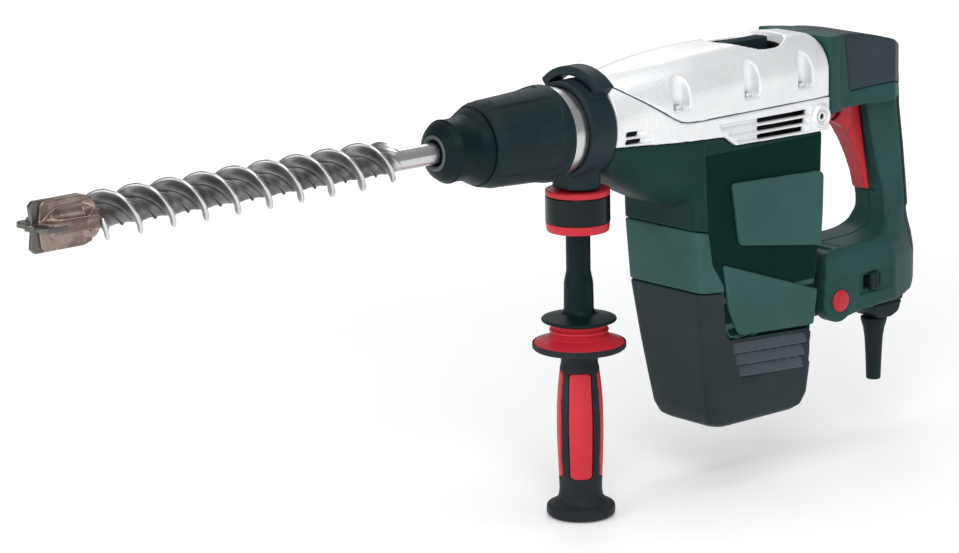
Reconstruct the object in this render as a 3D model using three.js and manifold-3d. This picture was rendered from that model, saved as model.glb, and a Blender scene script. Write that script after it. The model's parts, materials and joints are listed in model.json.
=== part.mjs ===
// A heavy rotary hammer with a four-cutter drill bit, a swivelling side handle and a sprung D-shaped rear handle.
// Millimetres, +Z up. The bit points along -X. Inside the tool group the origin is on the tool axis,
// at the rear edge of the bright neck ring; the part's own origin is the middle of the flat base.
import * as THREE from "three";
import { mergeVertices } from "three/addons/utils/BufferGeometryUtils.js";
import Module from "manifold-3d";

const wasm = await Module();
wasm.setup();

// Driving dimensions
const gap = 0.3; // between touching pieces
const run = 0.35; // radial clearance of a moving fit
const axisHeight = 280; // tool axis above the flat base
const motorX = 190; // upright motor axis
const facets = 16;
const wideFacets = 24; // on large round surfaces that fit each other

const bit = { shankR: 9, fluteR: 19.4, coreR: 10.5, lead: 61.8, landShare: 0.2,
  headX: -475, tipX: -533, runoutX: -186, shankX: -173, endX: -48, headR: 20, wingT: 8 };
const lock = { r: 3, length: 12, x: -98, floor: 6, play: 12 };
const chuck = { noseX: -138, capR: 26, capEndX: -97.5, holderR: 19.5, holderX: -124, holderEndX: -40,
  sleeveX: -95, sleeveEndX: -17, sleeveR: 41, springR: 26, springWire: 1.3 };
const neck = { frontX: -28, ringR: 37.5, bodyR: 35.8, endX: 30, bearingX: 6, bearingW: 20, bearingR: 33 };
const drive = { tubeR: 20.5, boreR: 16, tubeEndX: 175, module: 2, pinionTeeth: 8, crankTeeth: 32,
  idlerTeeth: 36, crownTeeth: 28, crownPinionTeeth: 9, throw: 18, rod: 74, gearZ: -54 };
const clamp = { x: 19.1, from: 0.6, to: 28.6, inR: 36.4, outR: 40.6, lugZ: -50.5, lugR: 21, hoodX: 11, hoodR: 52.3,
  hoodInR: 44.6, hoodHalf: 44 };
const body = { wall: 3.2, halfWidth: 47, rearX: 274, coverSplitZ: -2, jointZ: -101, capZ: -152, sideZ: -200 };
const pivot = { x: 299, z: -191, r: 5, bossR: 19.8, lugHalf: 21, cheekHalf: 36 };
const grip = { halfWidth: 18.5 };
const side = { stemR: 10.4, coreR: 9, collarR: 27.4, guardR: 39.8, gripTop: -187.4, bottom: -337, endR: 29.5 };
const knob = { x: 213, r: 30, floor: 33 };
const screwX = [97, 179, 244];
const crankX = motorX + (drive.module * (drive.pinionTeeth + drive.crankTeeth)) / 2;
const idlerX = motorX - (drive.module * (drive.pinionTeeth + drive.idlerTeeth)) / 2;

const finishes = {
  green: { color: 0x1f4a40, roughness: 0.55, metalness: 0 },
  black: { color: 0x23262a, roughness: 0.6, metalness: 0 },
  rubber: { color: 0x2a2d30, roughness: 0.8, metalness: 0 },
  red: { color: 0xc8202f, roughness: 0.45, metalness: 0 },
  silver: { color: 0xc6c9cc, roughness: 0.4, metalness: 0.7 },
  steel: { color: 0x9a9c9f, roughness: 0.3, metalness: 1 },
  brazed: { color: 0x8a7468, roughness: 0.4, metalness: 0.9 },
  copper: { color: 0xb06a3a, roughness: 0.4, metalness: 1 },
  carbon: { color: 0x1a1a1a, roughness: 0.7, metalness: 0 },
};

// Solids ---------------------------------------------------------------

// A closed geometry as a solid; one drawn the other way round is turned to face out.
function solid(geometry) {
  const bare = geometry.index ? geometry.toNonIndexed() : geometry.clone();
  bare.deleteAttribute("normal");
  bare.deleteAttribute("uv");
  const merged = mergeVertices(bare, 1e-4);
  const triVerts = new Uint32Array(merged.index.array);
  const make = (verts) => new wasm.Manifold(new wasm.Mesh({
    numProp: 3, vertProperties: merged.attributes.position.array, triVerts: verts }));
  const made = make(triVerts);
  return made.volume() < 0 ? make(triVerts.slice().reverse()) : made;
}

function geometryOf(shape) {
  const mesh = shape.getMesh();
  const geometry = new THREE.BufferGeometry();
  geometry.setAttribute("position", new THREE.BufferAttribute(new Float32Array(mesh.vertProperties), 3));
  geometry.setIndex(new THREE.BufferAttribute(new Uint32Array(mesh.triVerts), 1));
  return geometry;
}

const join = (first, ...rest) => rest.reduce((sum, next) => sum.add(next), first);
const cut = (first, ...rest) => rest.reduce((left, next) => left.subtract(next), first);
const common = (a, b) => a.intersect(b);

const turnTo = {
  x: new THREE.Matrix4().makeRotationZ(-Math.PI / 2),
  y: new THREE.Matrix4(),
  z: new THREE.Matrix4().makeRotationX(Math.PI / 2),
};

// A turned solid about an axis; profile is [place along the axis, radius].
function turned(axis, profile, at = [0, 0, 0], sides = facets) {
  const points = profile.map(([along, r]) => new THREE.Vector2(r, along));
  if (profile.every(([, r]) => r > 0)) points.push(points[0].clone());
  const geometry = new THREE.LatheGeometry(points, sides);
  geometry.applyMatrix4(turnTo[axis]).translate(...at);
  return solid(geometry);
}

const rod = (axis, r, from, to, at, sides) =>
  turned(axis, [[from, 0], [from, r], [to, r], [to, 0]], at, sides);

const ring = (axis, inner, outer, from, to, at, sides) =>
  turned(axis, [[from, inner], [from, outer], [to, outer], [to, inner]], at, sides);

const shapeOf = (points) => new THREE.Shape(points.map(([a, b]) => new THREE.Vector2(a, b)));

function extruded(points, depth, holes = []) {
  const shape = shapeOf(points);
  holes.forEach((hole) => shape.holes.push(shapeOf(hole)));
  return new THREE.ExtrudeGeometry(shape, { depth, bevelEnabled: false });
}

// A side outline of [x, z] points, carried across from y0 to y1.
const acrossY = (points, y0, y1, holes) =>
  solid(extruded(points, y1 - y0, holes).applyMatrix4(turnTo.z).translate(0, y1, 0));

// A plan outline of [x, y] points, carried up from z0 to z1.
const upZ = (points, z0, z1, holes) => solid(extruded(points, z1 - z0, holes).translate(0, 0, z0));

const block = (x0, x1, y0, y1, z0, z1) =>
  solid(new THREE.BoxGeometry(x1 - x0, y1 - y0, z1 - z0)
    .translate((x0 + x1) / 2, (y0 + y1) / 2, (z0 + z1) / 2));

const circle = (x, y, r, sides = facets, from = 0, to = 2 * Math.PI) => {
  const whole = Math.abs(to - from - 2 * Math.PI) < 1e-9;
  return Array.from({ length: sides + (whole ? 0 : 1) }, (_, i) => {
    const a = from + ((to - from) * i) / sides;
    return [x + r * Math.cos(a), y + r * Math.sin(a)];
  });
};

// A rectangle with rounded corners, counterclockwise; radii are for the low and the high side.
function roundedBox(u0, u1, v0, v1, rLow, rHigh = rLow, steps = 3) {
  const quarter = Math.PI / 2;
  const corners = [[u1 - rHigh, v1 - rHigh, rHigh, 0], [u0 + rHigh, v1 - rHigh, rHigh, 1],
    [u0 + rLow, v0 + rLow, rLow, 2], [u1 - rLow, v0 + rLow, rLow, 3]];
  return corners.flatMap(([u, v, r, q]) => circle(u, v, r, steps, q * quarter, (q + 1) * quarter));
}

// A closed skin through rings of points, with flat ends.
function lofted(rings) {
  const count = rings[0].length;
  const positions = rings.flat().flatMap((p) => p);
  const index = [];
  const centre = (points) => [0, 1, 2].map((k) => points.reduce((s, p) => s + p[k], 0) / count);
  positions.push(...centre(rings[0]), ...centre(rings.at(-1)));
  const first = rings.length * count;
  for (let j = 0; j < count; j += 1) {
    const next = (j + 1) % count;
    const top = (rings.length - 1) * count;
    index.push(first, next, j, first + 1, top + j, top + next);
    for (let i = 0; i + 1 < rings.length; i += 1) {
      const a = i * count;
      const b = a + count;
      index.push(a + j, a + next, b + next, a + j, b + next, b + j);
    }
  }
  const geometry = new THREE.BufferGeometry();
  geometry.setAttribute("position", new THREE.Float32BufferAttribute(positions, 3));
  geometry.setIndex(index);
  return solid(geometry);
}

// Toothed outline: trapezoid teeth with plenty of backlash, a tooth or a space at angle 0.
function toothed(teeth, startWithSpace = false) {
  const r = (drive.module * teeth) / 2;
  const pitch = (2 * Math.PI) / teeth;
  const turn = startWithSpace ? pitch / 2 : 0;
  const tip = r + 0.8 * drive.module;
  const root = r - 1.1 * drive.module;
  const edges = [[-0.3, root], [-0.12, tip], [0.12, tip], [0.3, root]];
  return Array.from({ length: teeth }, (_, i) => i).flatMap((i) =>
    edges.map(([share, radius]) => {
      const a = turn + (i + share) * pitch;
      return [radius * Math.cos(a), radius * Math.sin(a)];
    }));
}

// The scene -------------------------------------------------------------

const hammer = new THREE.Group();
const tool = new THREE.Group();
tool.position.set(-motorX, 0, axisHeight);
hammer.add(tool);

function groupAt(x, y, z) {
  const group = new THREE.Group();
  group.position.set(x, y, z);
  tool.add(group);
  return group;
}

function add(group, name, shape, finish) {
  const mesh = new THREE.Mesh(geometryOf(shape), new THREE.MeshStandardMaterial(finishes[finish]));
  mesh.name = name;
  group.add(mesh);
  return mesh;
}

// Drill bit ---------------------------------------------------------------

function flutedRing(x, scale, minimum) {
  const sides = 16;
  const turn = (2 * Math.PI * (x - bit.headX)) / bit.lead;
  return Array.from({ length: sides }, (_, i) => {
    const a = (2 * Math.PI * i) / sides;
    const wave = Math.abs(Math.cos(a)); // two lands, half a turn apart
    const land = Math.min(1, Math.max(0, (wave - 0.72) / bit.landShare));
    const r = Math.max(minimum, (bit.coreR + (bit.fluteR - bit.coreR) * land) * scale);
    return [x, r * Math.cos(a + turn), r * Math.sin(a + turn)];
  });
}

function bitBody() {
  const steps = 36;
  const rings = Array.from({ length: steps + 1 }, (_, i) =>
    flutedRing(bit.headX + ((bit.runoutX - bit.headX) * i) / steps, 1, 0));
  rings.push(flutedRing(bit.shankX - 4, 0.5, bit.shankR));
  const flutes = lofted(rings);
  const shank = rod("x", bit.shankR, bit.shankX - 5, bit.endX, [0, 0, 0], 24);
  const seatFrom = lock.x - lock.length / 2 - 0.5;
  const seatTo = lock.x + lock.length / 2 + lock.play + 0.5;
  const seats = [-1, 1].map((s) => block(seatFrom, seatTo, -lock.r - run, lock.r + run,
    s > 0 ? lock.floor : -bit.shankR - 1, s > 0 ? bit.shankR + 1 : -lock.floor));
  const keyways = [-1, 1].map((s) => block(bit.endX - 60, bit.endX + 1,
    s > 0 ? lock.floor : -bit.shankR - 1, s > 0 ? bit.shankR + 1 : -lock.floor, -2.6, 2.6));
  return cut(join(flutes, shank), ...seats, ...keyways);
}

function cutterHead() {
  const front = bit.headX - gap;
  const hub = turned("x", [[bit.tipX + 8, 0], [bit.tipX + 12, 8], [bit.tipX + 22, 13], [front, 15], [front, 0]]);
  const outline = [[bit.tipX + 6, 2.5], [bit.tipX, 0], [bit.tipX + 6, -2.5], [bit.tipX + 9, -bit.headR],
    [front - 4, -bit.headR], [front, -16], [front, 16], [front - 4, bit.headR], [bit.tipX + 9, bit.headR]];
  const wing = acrossY(outline, -bit.wingT / 2, bit.wingT / 2);
  return join(hub, wing.rotate([45, 0, 0]), wing.rotate([-45, 0, 0]));
}

// Chuck and spindle ---------------------------------------------------------

function dustCap() {
  return turned("x", [[-134.5, 10], [-136.5, 14.7], [chuck.noseX, 17.5], [-136.8, 22], [-130.5, chuck.capR],
    [-106, chuck.capR + 0.2], [chuck.capEndX, 29.8], [chuck.capEndX, 20.2], [-126, 20.2], [-128.5, 10]]);
}

function toolHolder() {
  const bore = bit.shankR + run;
  const tube = turned("x", [[chuck.holderX, bore], [chuck.holderX, chuck.holderR], [-44, chuck.holderR],
    [-44, 32.4], [chuck.holderEndX, 32.4], [chuck.holderEndX, bore]]);
  const window = lock.r + gap;
  return cut(tube, block(lock.x - lock.length / 2 - gap, lock.x + lock.length / 2 + gap, -window, window, -25, 25));
}

function lockingRoller() {
  const from = lock.x - lock.length / 2;
  const to = lock.x + lock.length / 2;
  return turned("x", [[from, 0], [from + 1.2, lock.r - 0.4], [from + 2, lock.r], [to - 2, lock.r],
    [to - 1.2, lock.r - 0.4], [to, 0]], [0, 0, 0], 12);
}

function lockingSleeve() {
  const r = chuck.sleeveR;
  return turned("x", [[chuck.sleeveX, 27.5], [chuck.sleeveX, 33], [-88, 35.5], [-82, 37.5], [-60, 38.5],
    [-36, 39.9], [-20, r], [chuck.sleeveEndX, r - 0.6], [chuck.sleeveEndX, 38.2], [-42, 38.2],
    [-42, 33], [-88, 33], [-91, 27.5]], [0, 0, 0], 24);
}

// A wire coil about the X axis.
function coil(r, wire, from, to, turns) {
  const points = Array.from({ length: turns * 10 + 1 }, (_, i) => {
    const a = (2 * Math.PI * i) / 10;
    return new THREE.Vector3(from + ((to - from) * i) / (turns * 10), r * Math.cos(a), r * Math.sin(a));
  });
  const path = new THREE.CatmullRomCurve3(points);
  const section = shapeOf(circle(0, 0, wire, 5));
  return solid(new THREE.ExtrudeGeometry(section, { steps: turns * 9, extrudePath: path, bevelEnabled: false }));
}

function spindleTube() {
  return turned("x", [[chuck.holderEndX + gap, 12], [chuck.holderEndX + gap, 19], [28, 19], [34, drive.tubeR],
    [drive.tubeEndX, drive.tubeR], [drive.tubeEndX, drive.boreR], [56, drive.boreR], [52, 12]]);
}

function crownGear() {
  const inner = drive.tubeR + gap;
  const r = (drive.module * drive.crownTeeth) / 2;
  const face = idlerX - (drive.module * drive.crownPinionTeeth) / 2 - 2.4;
  const teeth = Array.from({ length: drive.crownTeeth }, (_, i) =>
    block(face - 0.5, face + 3.2, -1, 1, r - 3, r + 4).rotate([(i * 360) / drive.crownTeeth, 0, 0]));
  return join(ring("x", inner, r + 4.6, face - 8, face), ...teeth);
}

// Hammer mechanism ------------------------------------------------------------

function piston() {
  const small = crankX - drive.throw - drive.rod;
  const slot = block(small - 10.5, small + 13, -20, 20, -8.5, 8.5);
  const body0 = rod("x", drive.boreR - run, small - 26, small + 12);
  return cut(body0, slot, rod("z", 4 + run, -20, 20, [small, 0, 0], 16));
}

function connectingRod() {
  const small = crankX - drive.throw - drive.rod;
  const big = crankX - drive.throw;
  const beam = block(small, big, -5, 5, -6, 6);
  const solidRod = join(rod("z", 9.5, -8, 8, [small, 0, 0]), rod("z", 12, -8, 8, [big, 0, 0]), beam);
  return join(cut(solidRod, rod("z", 7.4, -9, 9, [big, 0, 0])), rod("z", 4, -14, 14, [small, 0, 0], 16));
}

const beatPiece = () => turned("x", [[-47, 0], [-47, 8.8], [-34, 8.8], [-32, 11.6], [20, 11.6], [22, 8],
  [46, 8], [46, 0]]);

const striker = () => turned("x", [[57, 0], [57, 8], [63, 8], [63, drive.boreR - run], [92, drive.boreR - run],
  [92, 0]]);

function crankGear() {
  const shaft = rod("z", 8, -80, drive.gearZ, [0, 0, 0], 20);
  const gear = upZ(toothed(drive.crankTeeth, true), drive.gearZ, drive.gearZ + 10);
  const web = rod("z", 25, drive.gearZ + 9, -24);
  const pin = rod("z", 7, -25, -8.7, [-drive.throw, 0, 0], 20);
  return join(shaft, gear, web, pin);
}

function idlerGear() {
  const face = drive.module * drive.crownPinionTeeth * 0.5 - 3;
  return join(
    rod("z", 7, -78, drive.gearZ, [0, 0, 0], 20),
    upZ(toothed(drive.idlerTeeth, true), drive.gearZ, drive.gearZ + 10),
    rod("z", face, drive.gearZ + 9, -38, [0, 0, 0], 20),
    upZ(toothed(drive.crownPinionTeeth), -38, -24),
  );
}

function rotor() {
  return join(
    turned("z", [[-252, 0], [-252, 4], [-240, 4], [-238, 5], [-76, 5], [-56, 4.6], [-43, 4.6], [-43, 0]],
      [0, 0, 0], 20),
    rod("z", 22, -192, -130),
    rod("z", 17, -200, -122),
    upZ(toothed(drive.pinionTeeth), drive.gearZ - 1, drive.gearZ + 11),
  );
}

function coolingFan() {
  const hub = ring("z", 5.3, 9, -118, -104, [0, 0, 0], 20);
  const plate = ring("z", 8, 35, -118, -116);
  const blades = Array.from({ length: 12 }, (_, i) =>
    block(8, 34, -0.8, 0.8, -117, -106).rotate([0, 0, 30 * i + 10]));
  return join(hub, plate, ...blades);
}

// Casings ----------------------------------------------------------------------

// Upper body sections along X: half width, top, bottom, lower corner radius, upper corner radius.
const upperStations = [
  [neck.endX + gap, 38.5, 39.5, -38.5, 37.5, 37.5], [40, 39.8, 42, -40.5, 37.5, 38], [57, 42, 45, -42, 36, 38],
  [97, body.halfWidth - 0.5, 48.6, -44, 20, 34], [140, body.halfWidth, 52, -44, 12, 33],
  [236, body.halfWidth, 53, -44, 12, 33],
  [body.rearX, body.halfWidth - 1, 50.6, -44, 12, 32]];

function upperBody(inset) {
  const last = upperStations.length - 1;
  return lofted(upperStations.map(([x, w, top, bottom, rLow, rHigh], i) =>
    roundedBox(-w + inset, w - inset, bottom + inset, top - inset, rLow - inset, rHigh - inset, 4)
      .map(([y, z]) => [x + (i === 0 ? inset : 0) - (i === last ? inset : 0), y, z])));
}

// The rounded belly under the nose of the body.
const bellyStations = [[neck.endX + gap, 38, -39.5], [40, 38.9, -43.5], [48, 41, -49], [57, 43, -56],
  [78, 45.5, -68], [126, 46.5, -88]];

function belly(inset) {
  return lofted(bellyStations.map(([x, w, bottom], i) =>
    roundedBox(-w + inset, w - inset, bottom + inset, -2 - inset, 34 - inset, 3, 4)
      .map(([y, z]) => [x + (i === 0 ? inset : 0), y, z])));
}

// Motor casing sections down Z: front, rear, half width, corner radius.
const motorStations = [[-12, 110, 272, 47, 7], [body.jointZ, 113.5, 269, 47.2, 7], [-151, 118, 266, 46.8, 7],
  [-205, 126, 262, 43.4, 8], [-240, 132, 261, 41, 9], [-266, 137.5, 258, 39.4, 9],
  [-276, 142, 254, 37.5, 11], [-axisHeight, 148, 248, 33.5, 13]];

function motorBody(inset) {
  const last = motorStations.length - 1;
  return lofted(motorStations.map(([z, front, rear, w, r], i) =>
    roundedBox(front + inset, rear - inset, -w + inset, w - inset, Math.max(2, r - inset))
      .map(([x, y]) => [x, y, z + (i === last && inset > 0 ? inset + 1 : 0)])));
}

const wide = body.halfWidth + 20;
const seam = gap / 2;

// Side view of each casing; neighbours share a seam and stand clear of it by half the gap.
const silverEdge = [[20, -13.5], [32, -15], [146, -20.5], [159, -29.5], [body.rearX + 5, -32]];
const coverEdge = [[6, 51], [49, 27], [95, 0.7], [115, body.coverSplitZ - 1], [body.rearX + 5, body.coverSplitZ]];
const capEdge = [[100, body.capZ], [145, body.capZ - 4], [151, body.sideZ + 6], [156, body.sideZ],
  [252, body.sideZ - 6], [255.5, body.sideZ - 9], [256, -238], [275, -239]];
const jointEdge = [[0, body.jointZ + 4], [116, body.jointZ + 2.5], [140, body.jointZ - 2.5], [176, body.jointZ - 7],
  [300, body.jointZ - 21]];

const shifted = (points, d) => points.map(([x, z]) => [x + d, z + d]); // every edge falls towards the rear
const above = (edge, d) =>
  acrossY([...shifted(edge, d), [edge.at(-1)[0] + d, 90], [edge[0][0] + d, 90]], -wide, wide);
const below = (edge, d) =>
  acrossY([[edge[0][0] + d, -320], [edge.at(-1)[0] + d, -320], ...shifted(edge, d).reverse()], -wide, wide);

const outer = join(upperBody(0), belly(0), motorBody(0));
const inner = join(upperBody(body.wall), belly(body.wall), motorBody(body.wall));
const shell = cut(outer, inner);
const silverShell = cut(join(upperBody(0), motorBody(0)), inner);

const scoops = screwX.flatMap((x) => [-1, 1].map((s) => ({ x, y: s * 43 })));
const screwBase = 10;

function topCover() {
  const pillars = common(join(...scoops.map(({ x, y }) => rod("z", 12, -10, 46, [x, y, 0], 10))), outer);
  const dish = rod("z", knob.r + 5.5, knob.floor - 3, 50, [knob.x, 0, 0]);
  const blank = common(join(silverShell, pillars, common(dish, outer)), above(coverEdge, seam));
  const channels = scoops.map(({ x, y }) =>
    turned("z", [[screwBase, 0], [screwBase, 8.6], [34, 9], [48, 6], [48, 0]], [x, y, 0], 10));
  const holes = scoops.map(({ x, y }) => rod("z", 2.7, -20, screwBase + 1, [x, y * 0.93, 0], 8));
  const well = turned("z", [[knob.floor, 0], [knob.floor, knob.r + 1], [46, knob.r + 2.5], [60, knob.r + 6],
    [60, 0]], [knob.x, 0, 0]);
  const stalk = rod("z", 6.4, 20, 40, [knob.x, 0, 0], 20);
  return cut(blank, ...channels, ...holes, well, stalk);
}

function frontHousing() {
  const posts = common(join(...scoops.map(({ x, y }) => rod("z", 7, -16, -1, [x, y * 0.93, 0], 8))), outer);
  const wall = common(block(neck.endX, neck.endX + 7, -60, 60, -60, 60), upperBody(0));
  const band = common(below(coverEdge, -seam), above(silverEdge, seam));
  const boss = [-1, 1].map((s) => rod("y", 9.3, s > 0 ? 40 : -49, s > 0 ? 49 : -40, [262.5, 0, -18], 16));
  const blank = join(common(join(silverShell, posts, wall), band), common(join(...boss), band));
  const slots = [-11.5, -18.5, -25.5].map((z) => block(187, 244, -60, 60, z - 2.2, z + 2.2));
  const vents = [block(39, 52, -60, 60, -6.4, -2.4), block(39, 56, -60, 60, -13, -9.2)];
  const holes = scoops.map(({ x, y }) => rod("z", 2.7, -13, 5, [x, y * 0.93, 0], 8));
  const eyes = rod("y", 4, -60, 60, [262.5, 0, -18], 10);
  const spindleWay = rod("x", 24, 30, 60);
  const clear = block(0, neck.endX + gap, -wide, wide, -80, 90);
  return cut(blank, ...slots, ...vents, ...holes, eyes, spindleWay, clear);
}

function gearHousing() {
  const region = common(below(silverEdge, -seam), above(jointEdge, seam));
  const bridge = common(block(112, 270, -46, 46, -72, -68), outer);
  const bores = [[motorX, 10.6], [crankX, 8.4], [idlerX, 7.4]].map(([x, r]) => rod("z", r, -80, -60, [x, 0, 0]));
  const nose = rod("x", clamp.outR + 3, 0, neck.endX + gap);
  const front = rod("x", neck.bodyR + gap, 0, 80);
  const face = common(block(neck.endX, neck.endX + 8, -60, 60, -80, 0), join(upperBody(0), belly(0)));
  return cut(common(join(shell, face, cut(bridge, ...bores)), region), nose, front);
}

function motorHousing() {
  const region = common(above(capEdge, seam), below(jointEdge, -seam));
  const lug = acrossY([[250, pivot.z + 16], [pivot.x - 2, pivot.z + 14], ...circle(pivot.x, pivot.z, 14, 10,
    Math.PI / 2, -Math.PI / 2), [250, pivot.z - 16]], -pivot.lugHalf, pivot.lugHalf);
  const blank = join(common(shell, region), cut(lug, inner));
  return cut(blank, rod("y", pivot.r + run, -60, 60, [pivot.x, 0, pivot.z], 20));
}

function baseCap() {
  const region = common(below(capEdge, -seam), block(90, 290, -wide, wide, -300, body.jointZ));
  return common(shell, region);
}

const frontNeck = () => turned("x", [[neck.frontX, 22], [neck.frontX, neck.ringR - 0.6], [neck.frontX + 1, neck.ringR],
  [-6, neck.ringR], [-5, 36.6], [-3.6, 36.6], [-3, neck.ringR], [0, neck.ringR], [0, neck.bodyR],
  [neck.endX, neck.bodyR], [neck.endX, 22], [neck.bearingX + neck.bearingW + gap, 22],
  [neck.bearingX + neck.bearingW + gap, neck.bearingR], [neck.bearingX - gap, neck.bearingR],
  [neck.bearingX - gap, 22]], [0, 0, 0], wideFacets);

// Rear handle --------------------------------------------------------------------

const gripOuter = [[276, 49.5], [302, 48], [322, 46], [347, 41.5], [373, 34.5], [393, 26], [403, 18], [409, 7],
  [409.5, -4], [404, -13], [405, -30], [410.5, -67], [415, -105], [418.5, -138], [421.5, -155], [429, -171],
  [430, -186], [426, -195], [414, -203], [330, -205], [312, -208], [280, -210]];
const fingerSpace = [[270, -19], [350, -19], [356, -50], [364, -78], [372, -104], [375, -120], [372, -134],
  [364, -141], [350, -144], [298, -145], [286, -147], [282, -152], [282, -174], [270, -174]];
const padLine = [[390, -13.5], [391, -30], [396.5, -67], [401, -105], [404.5, -135], [410, -155], [420, -171],
  [421, -180]];
const armPlan = [[276, -45], [290, -43], [303, -34], [372, -32.5], [388, -21.5], [398, -12], [404, -4]];
// The grip's plan at falling heights, front to back along one side.
const gripPlans = [
  [0, [[335, -18.5], [386, -18.5], [395, -15.5], [401, -9], [404, -1]]],
  [-30, [[335, -18.5], [387, -18.5], [396, -15.5], [402, -9], [405, -1]]],
  [-67, [[335, -18.5], [392.5, -18.5], [402, -15.5], [408, -9], [410.5, -1]]],
  [-105, [[335, -18.5], [397, -18.5], [406, -15.5], [412, -9], [415, -1]]],
  [-124, [[335, -18.8], [399, -18.6], [408, -15.8], [414, -9], [417, -1]]]];
const footPlans = [
  [-122, [[276, -20], [330, -19], [362, -18.5], [384, -18.5], [399, -16.5], [410, -11], [417, -2]]],
  [-137, [[276, -29], [330, -27], [366, -25], [388, -20.5], [402, -17], [413, -11], [420, -2]]],
  [-151, [[276, -34.5], [330, -32.5], [370, -30.5], [392, -23], [406, -17.5], [418, -11], [426, -2]]],
  [-165, [[276, -36], [330, -34.5], [374, -33], [396, -24], [410, -17.5], [422, -10], [430, -2]]],
  [-215, [[276, -36], [330, -34.5], [374, -33], [396, -24], [410, -17.5], [422, -10], [430, -2]]]];
const mirrored = (line) => [...line, ...line.map(([x, y]) => [x, -y]).reverse()];

function handleBody() {
  const loop = cut(acrossY(gripOuter, -50, 50), acrossY(fingerSpace, -51, 51));
  const upper = upZ(mirrored(armPlan), -20, 60);
  const column = (plans) => lofted(plans.map(([z, line]) => mirrored(line).map(([x, y]) => [x, y, z])));
  const grasp = column(gripPlans);
  const lower = column(footPlans);
  const front = join(block(pivot.x, 440, -60, 60, -215, 60), block(270, 440, -60, 60, -21, 60),
    block(280, 310, -60, 60, pivot.z + 12, -130), rod("y", pivot.bossR, -60, 60, [pivot.x, 0, pivot.z]));
  const fork = join(block(270, pivot.x + 16.5, -pivot.lugHalf - 1, pivot.lugHalf + 1, -215, pivot.z + 27),
    rod("y", 16, -pivot.lugHalf - 1, pivot.lugHalf + 1, [pivot.x + 4, 0, pivot.z]));
  return cut(common(common(loop, join(upper, grasp, lower)), front), fork,
    rod("y", pivot.r + run, -60, 60, [pivot.x, 0, pivot.z], 20));
}

const handleSolid = handleBody();
const capRegion = (grow) => acrossY([[304 - grow, 60], [313 - grow, -4 - grow], [371, -3 - grow],
  [404 + grow, -13 - grow], [430, -13 - grow], [430, 60]], -60, 60);
const padRegion = (grow) => acrossY([...padLine.map(([x, z]) => [x - grow, z]), [421 - grow, -196 - grow],
  [440, -196 - grow], [440, -13.5]], -60, 60);

const rearCap = () => cut(common(handleSolid, capRegion(0)), block(300, 370, -26, 26, -20, 28));
const gripPad = () => cut(common(handleSolid, padRegion(0)), capRegion(gap));

const triggerLine = [[318, -21.5], [349, -21.5], [354, -46], [358.5, -72], [364.5, -103], [360.5, -103], [356.5, -88],
  [350, -73], [342, -58], [333, -45], [323, -33]];

function handleShell(s) {
  const green = cut(handleSolid, capRegion(gap), padRegion(gap));
  const hollow = join(
    acrossY([[352, -24], [384, -24], [389, -60], [394, -100], [395, -122], [376, -122], [368, -90], [360, -55]],
      -13.5, 13.5),
    acrossY([[315, -15.5], [366, -15.5], [372, -60], [377, -108], [342, -108], [336, -75], [325, -50]], -9.7, 9.7),
    block(308, 384, -26, 26, -16, 40),
    block(382, 394, -10, 10, -165, -110), block(330, 404, -14, 14, -186, -160), block(372, 396, -10, 10, -215, -165));
  const slider = block(326, 371, -60, 0, -191, -171);
  const recess = s < 0 ? [common(slider, block(300, 400, -60, -31.5, -200, -160)),
    block(334, 356, -60, -10, -187, -175)] : [];
  const lever = block(318, 338, -15.9, -10.1, -24, -8);
  const half = s < 0 ? block(200, 500, -80, -seam, -300, 100) : block(200, 500, seam, 80, -300, 100);
  return common(cut(green, hollow, ...recess, lever), half);
}

function trigger() {
  const plate = acrossY(triggerLine, -9, 9);
  const stem = block(349, 357, -5, 5, -46, -26);
  return join(plate, stem);
}

const triggerLock = () => acrossY([[322, -11], [334, -11], [334, -40], [327, -47], [311, -33], [320, -28]],
  -15.3, -10.7);

function modeSlider() {
  const plate = block(340, 350, -35.5, -32, -189, -173);
  return join(plate, block(342, 348, -32.5, -18, -184, -178));
}

function switchModule() {
  return common(block(362, 396, -12.5, 12.5, -116, -28),
    acrossY([[366.5, -28], [382, -28], [386.5, -60], [391, -95], [392, -116], [384, -116], [379.5, -78], [374, -58]],
      -12.5, 12.5));
}

const cableGland = () => join(
  acrossY([[366, -205.4], [368, -218], [374, -224.5], [390, -225], [399, -221], [406, -205.4]], -14, 14),
  rod("z", 8, -206, -180, [384, 0, 0], 16));

const strainRelief = () => turned("z", [[-284, 0], [-284, 6.5], [-262, 7.2], [-245, 8.3], [-236, 9.6], [-229, 11.8],
  [-225.6, 12.3], [-225.6, 0]], [381, 0, 0], 20);

// Side handle --------------------------------------------------------------------

function clampBand() {
  const band = ring("x", clamp.inR, clamp.outR, clamp.from, clamp.to, [0, 0, 0], wideFacets);
  const lug = common(cut(rod("z", clamp.lugR, clamp.lugZ, -30, [clamp.x, 0, 0]), rod("x", clamp.inR, -10, 60, [0, 0, 0], wideFacets)),
    block(clamp.from, clamp.to, -40, 40, -70, 0));
  const basis = new THREE.Matrix4().makeBasis(
    new THREE.Vector3(0, 1, 0), new THREE.Vector3(0, 0, 1), new THREE.Vector3(1, 0, 0));
  const arch = (low, high, half, from, to) => {
    const [a, b] = [90 - half, 90 + half].map((v) => (v * Math.PI) / 180);
    const outline = [...circle(0, 0, high, 12, a, b), ...circle(0, 0, low, 12, b, a)];
    return solid(extruded(outline, to - from).applyMatrix4(basis).translate(from, 0, 0));
  };
  const hood = arch(clamp.outR - 2, clamp.hoodR, clamp.hoodHalf, clamp.hoodX, clamp.to);
  const through = arch(clamp.outR + 0.8, clamp.hoodInR, clamp.hoodHalf - 7, -10, 60);
  return cut(join(band, lug, hood), through, rod("z", 7, -60, -30, [clamp.x, 0, 0], 16));
}

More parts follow.
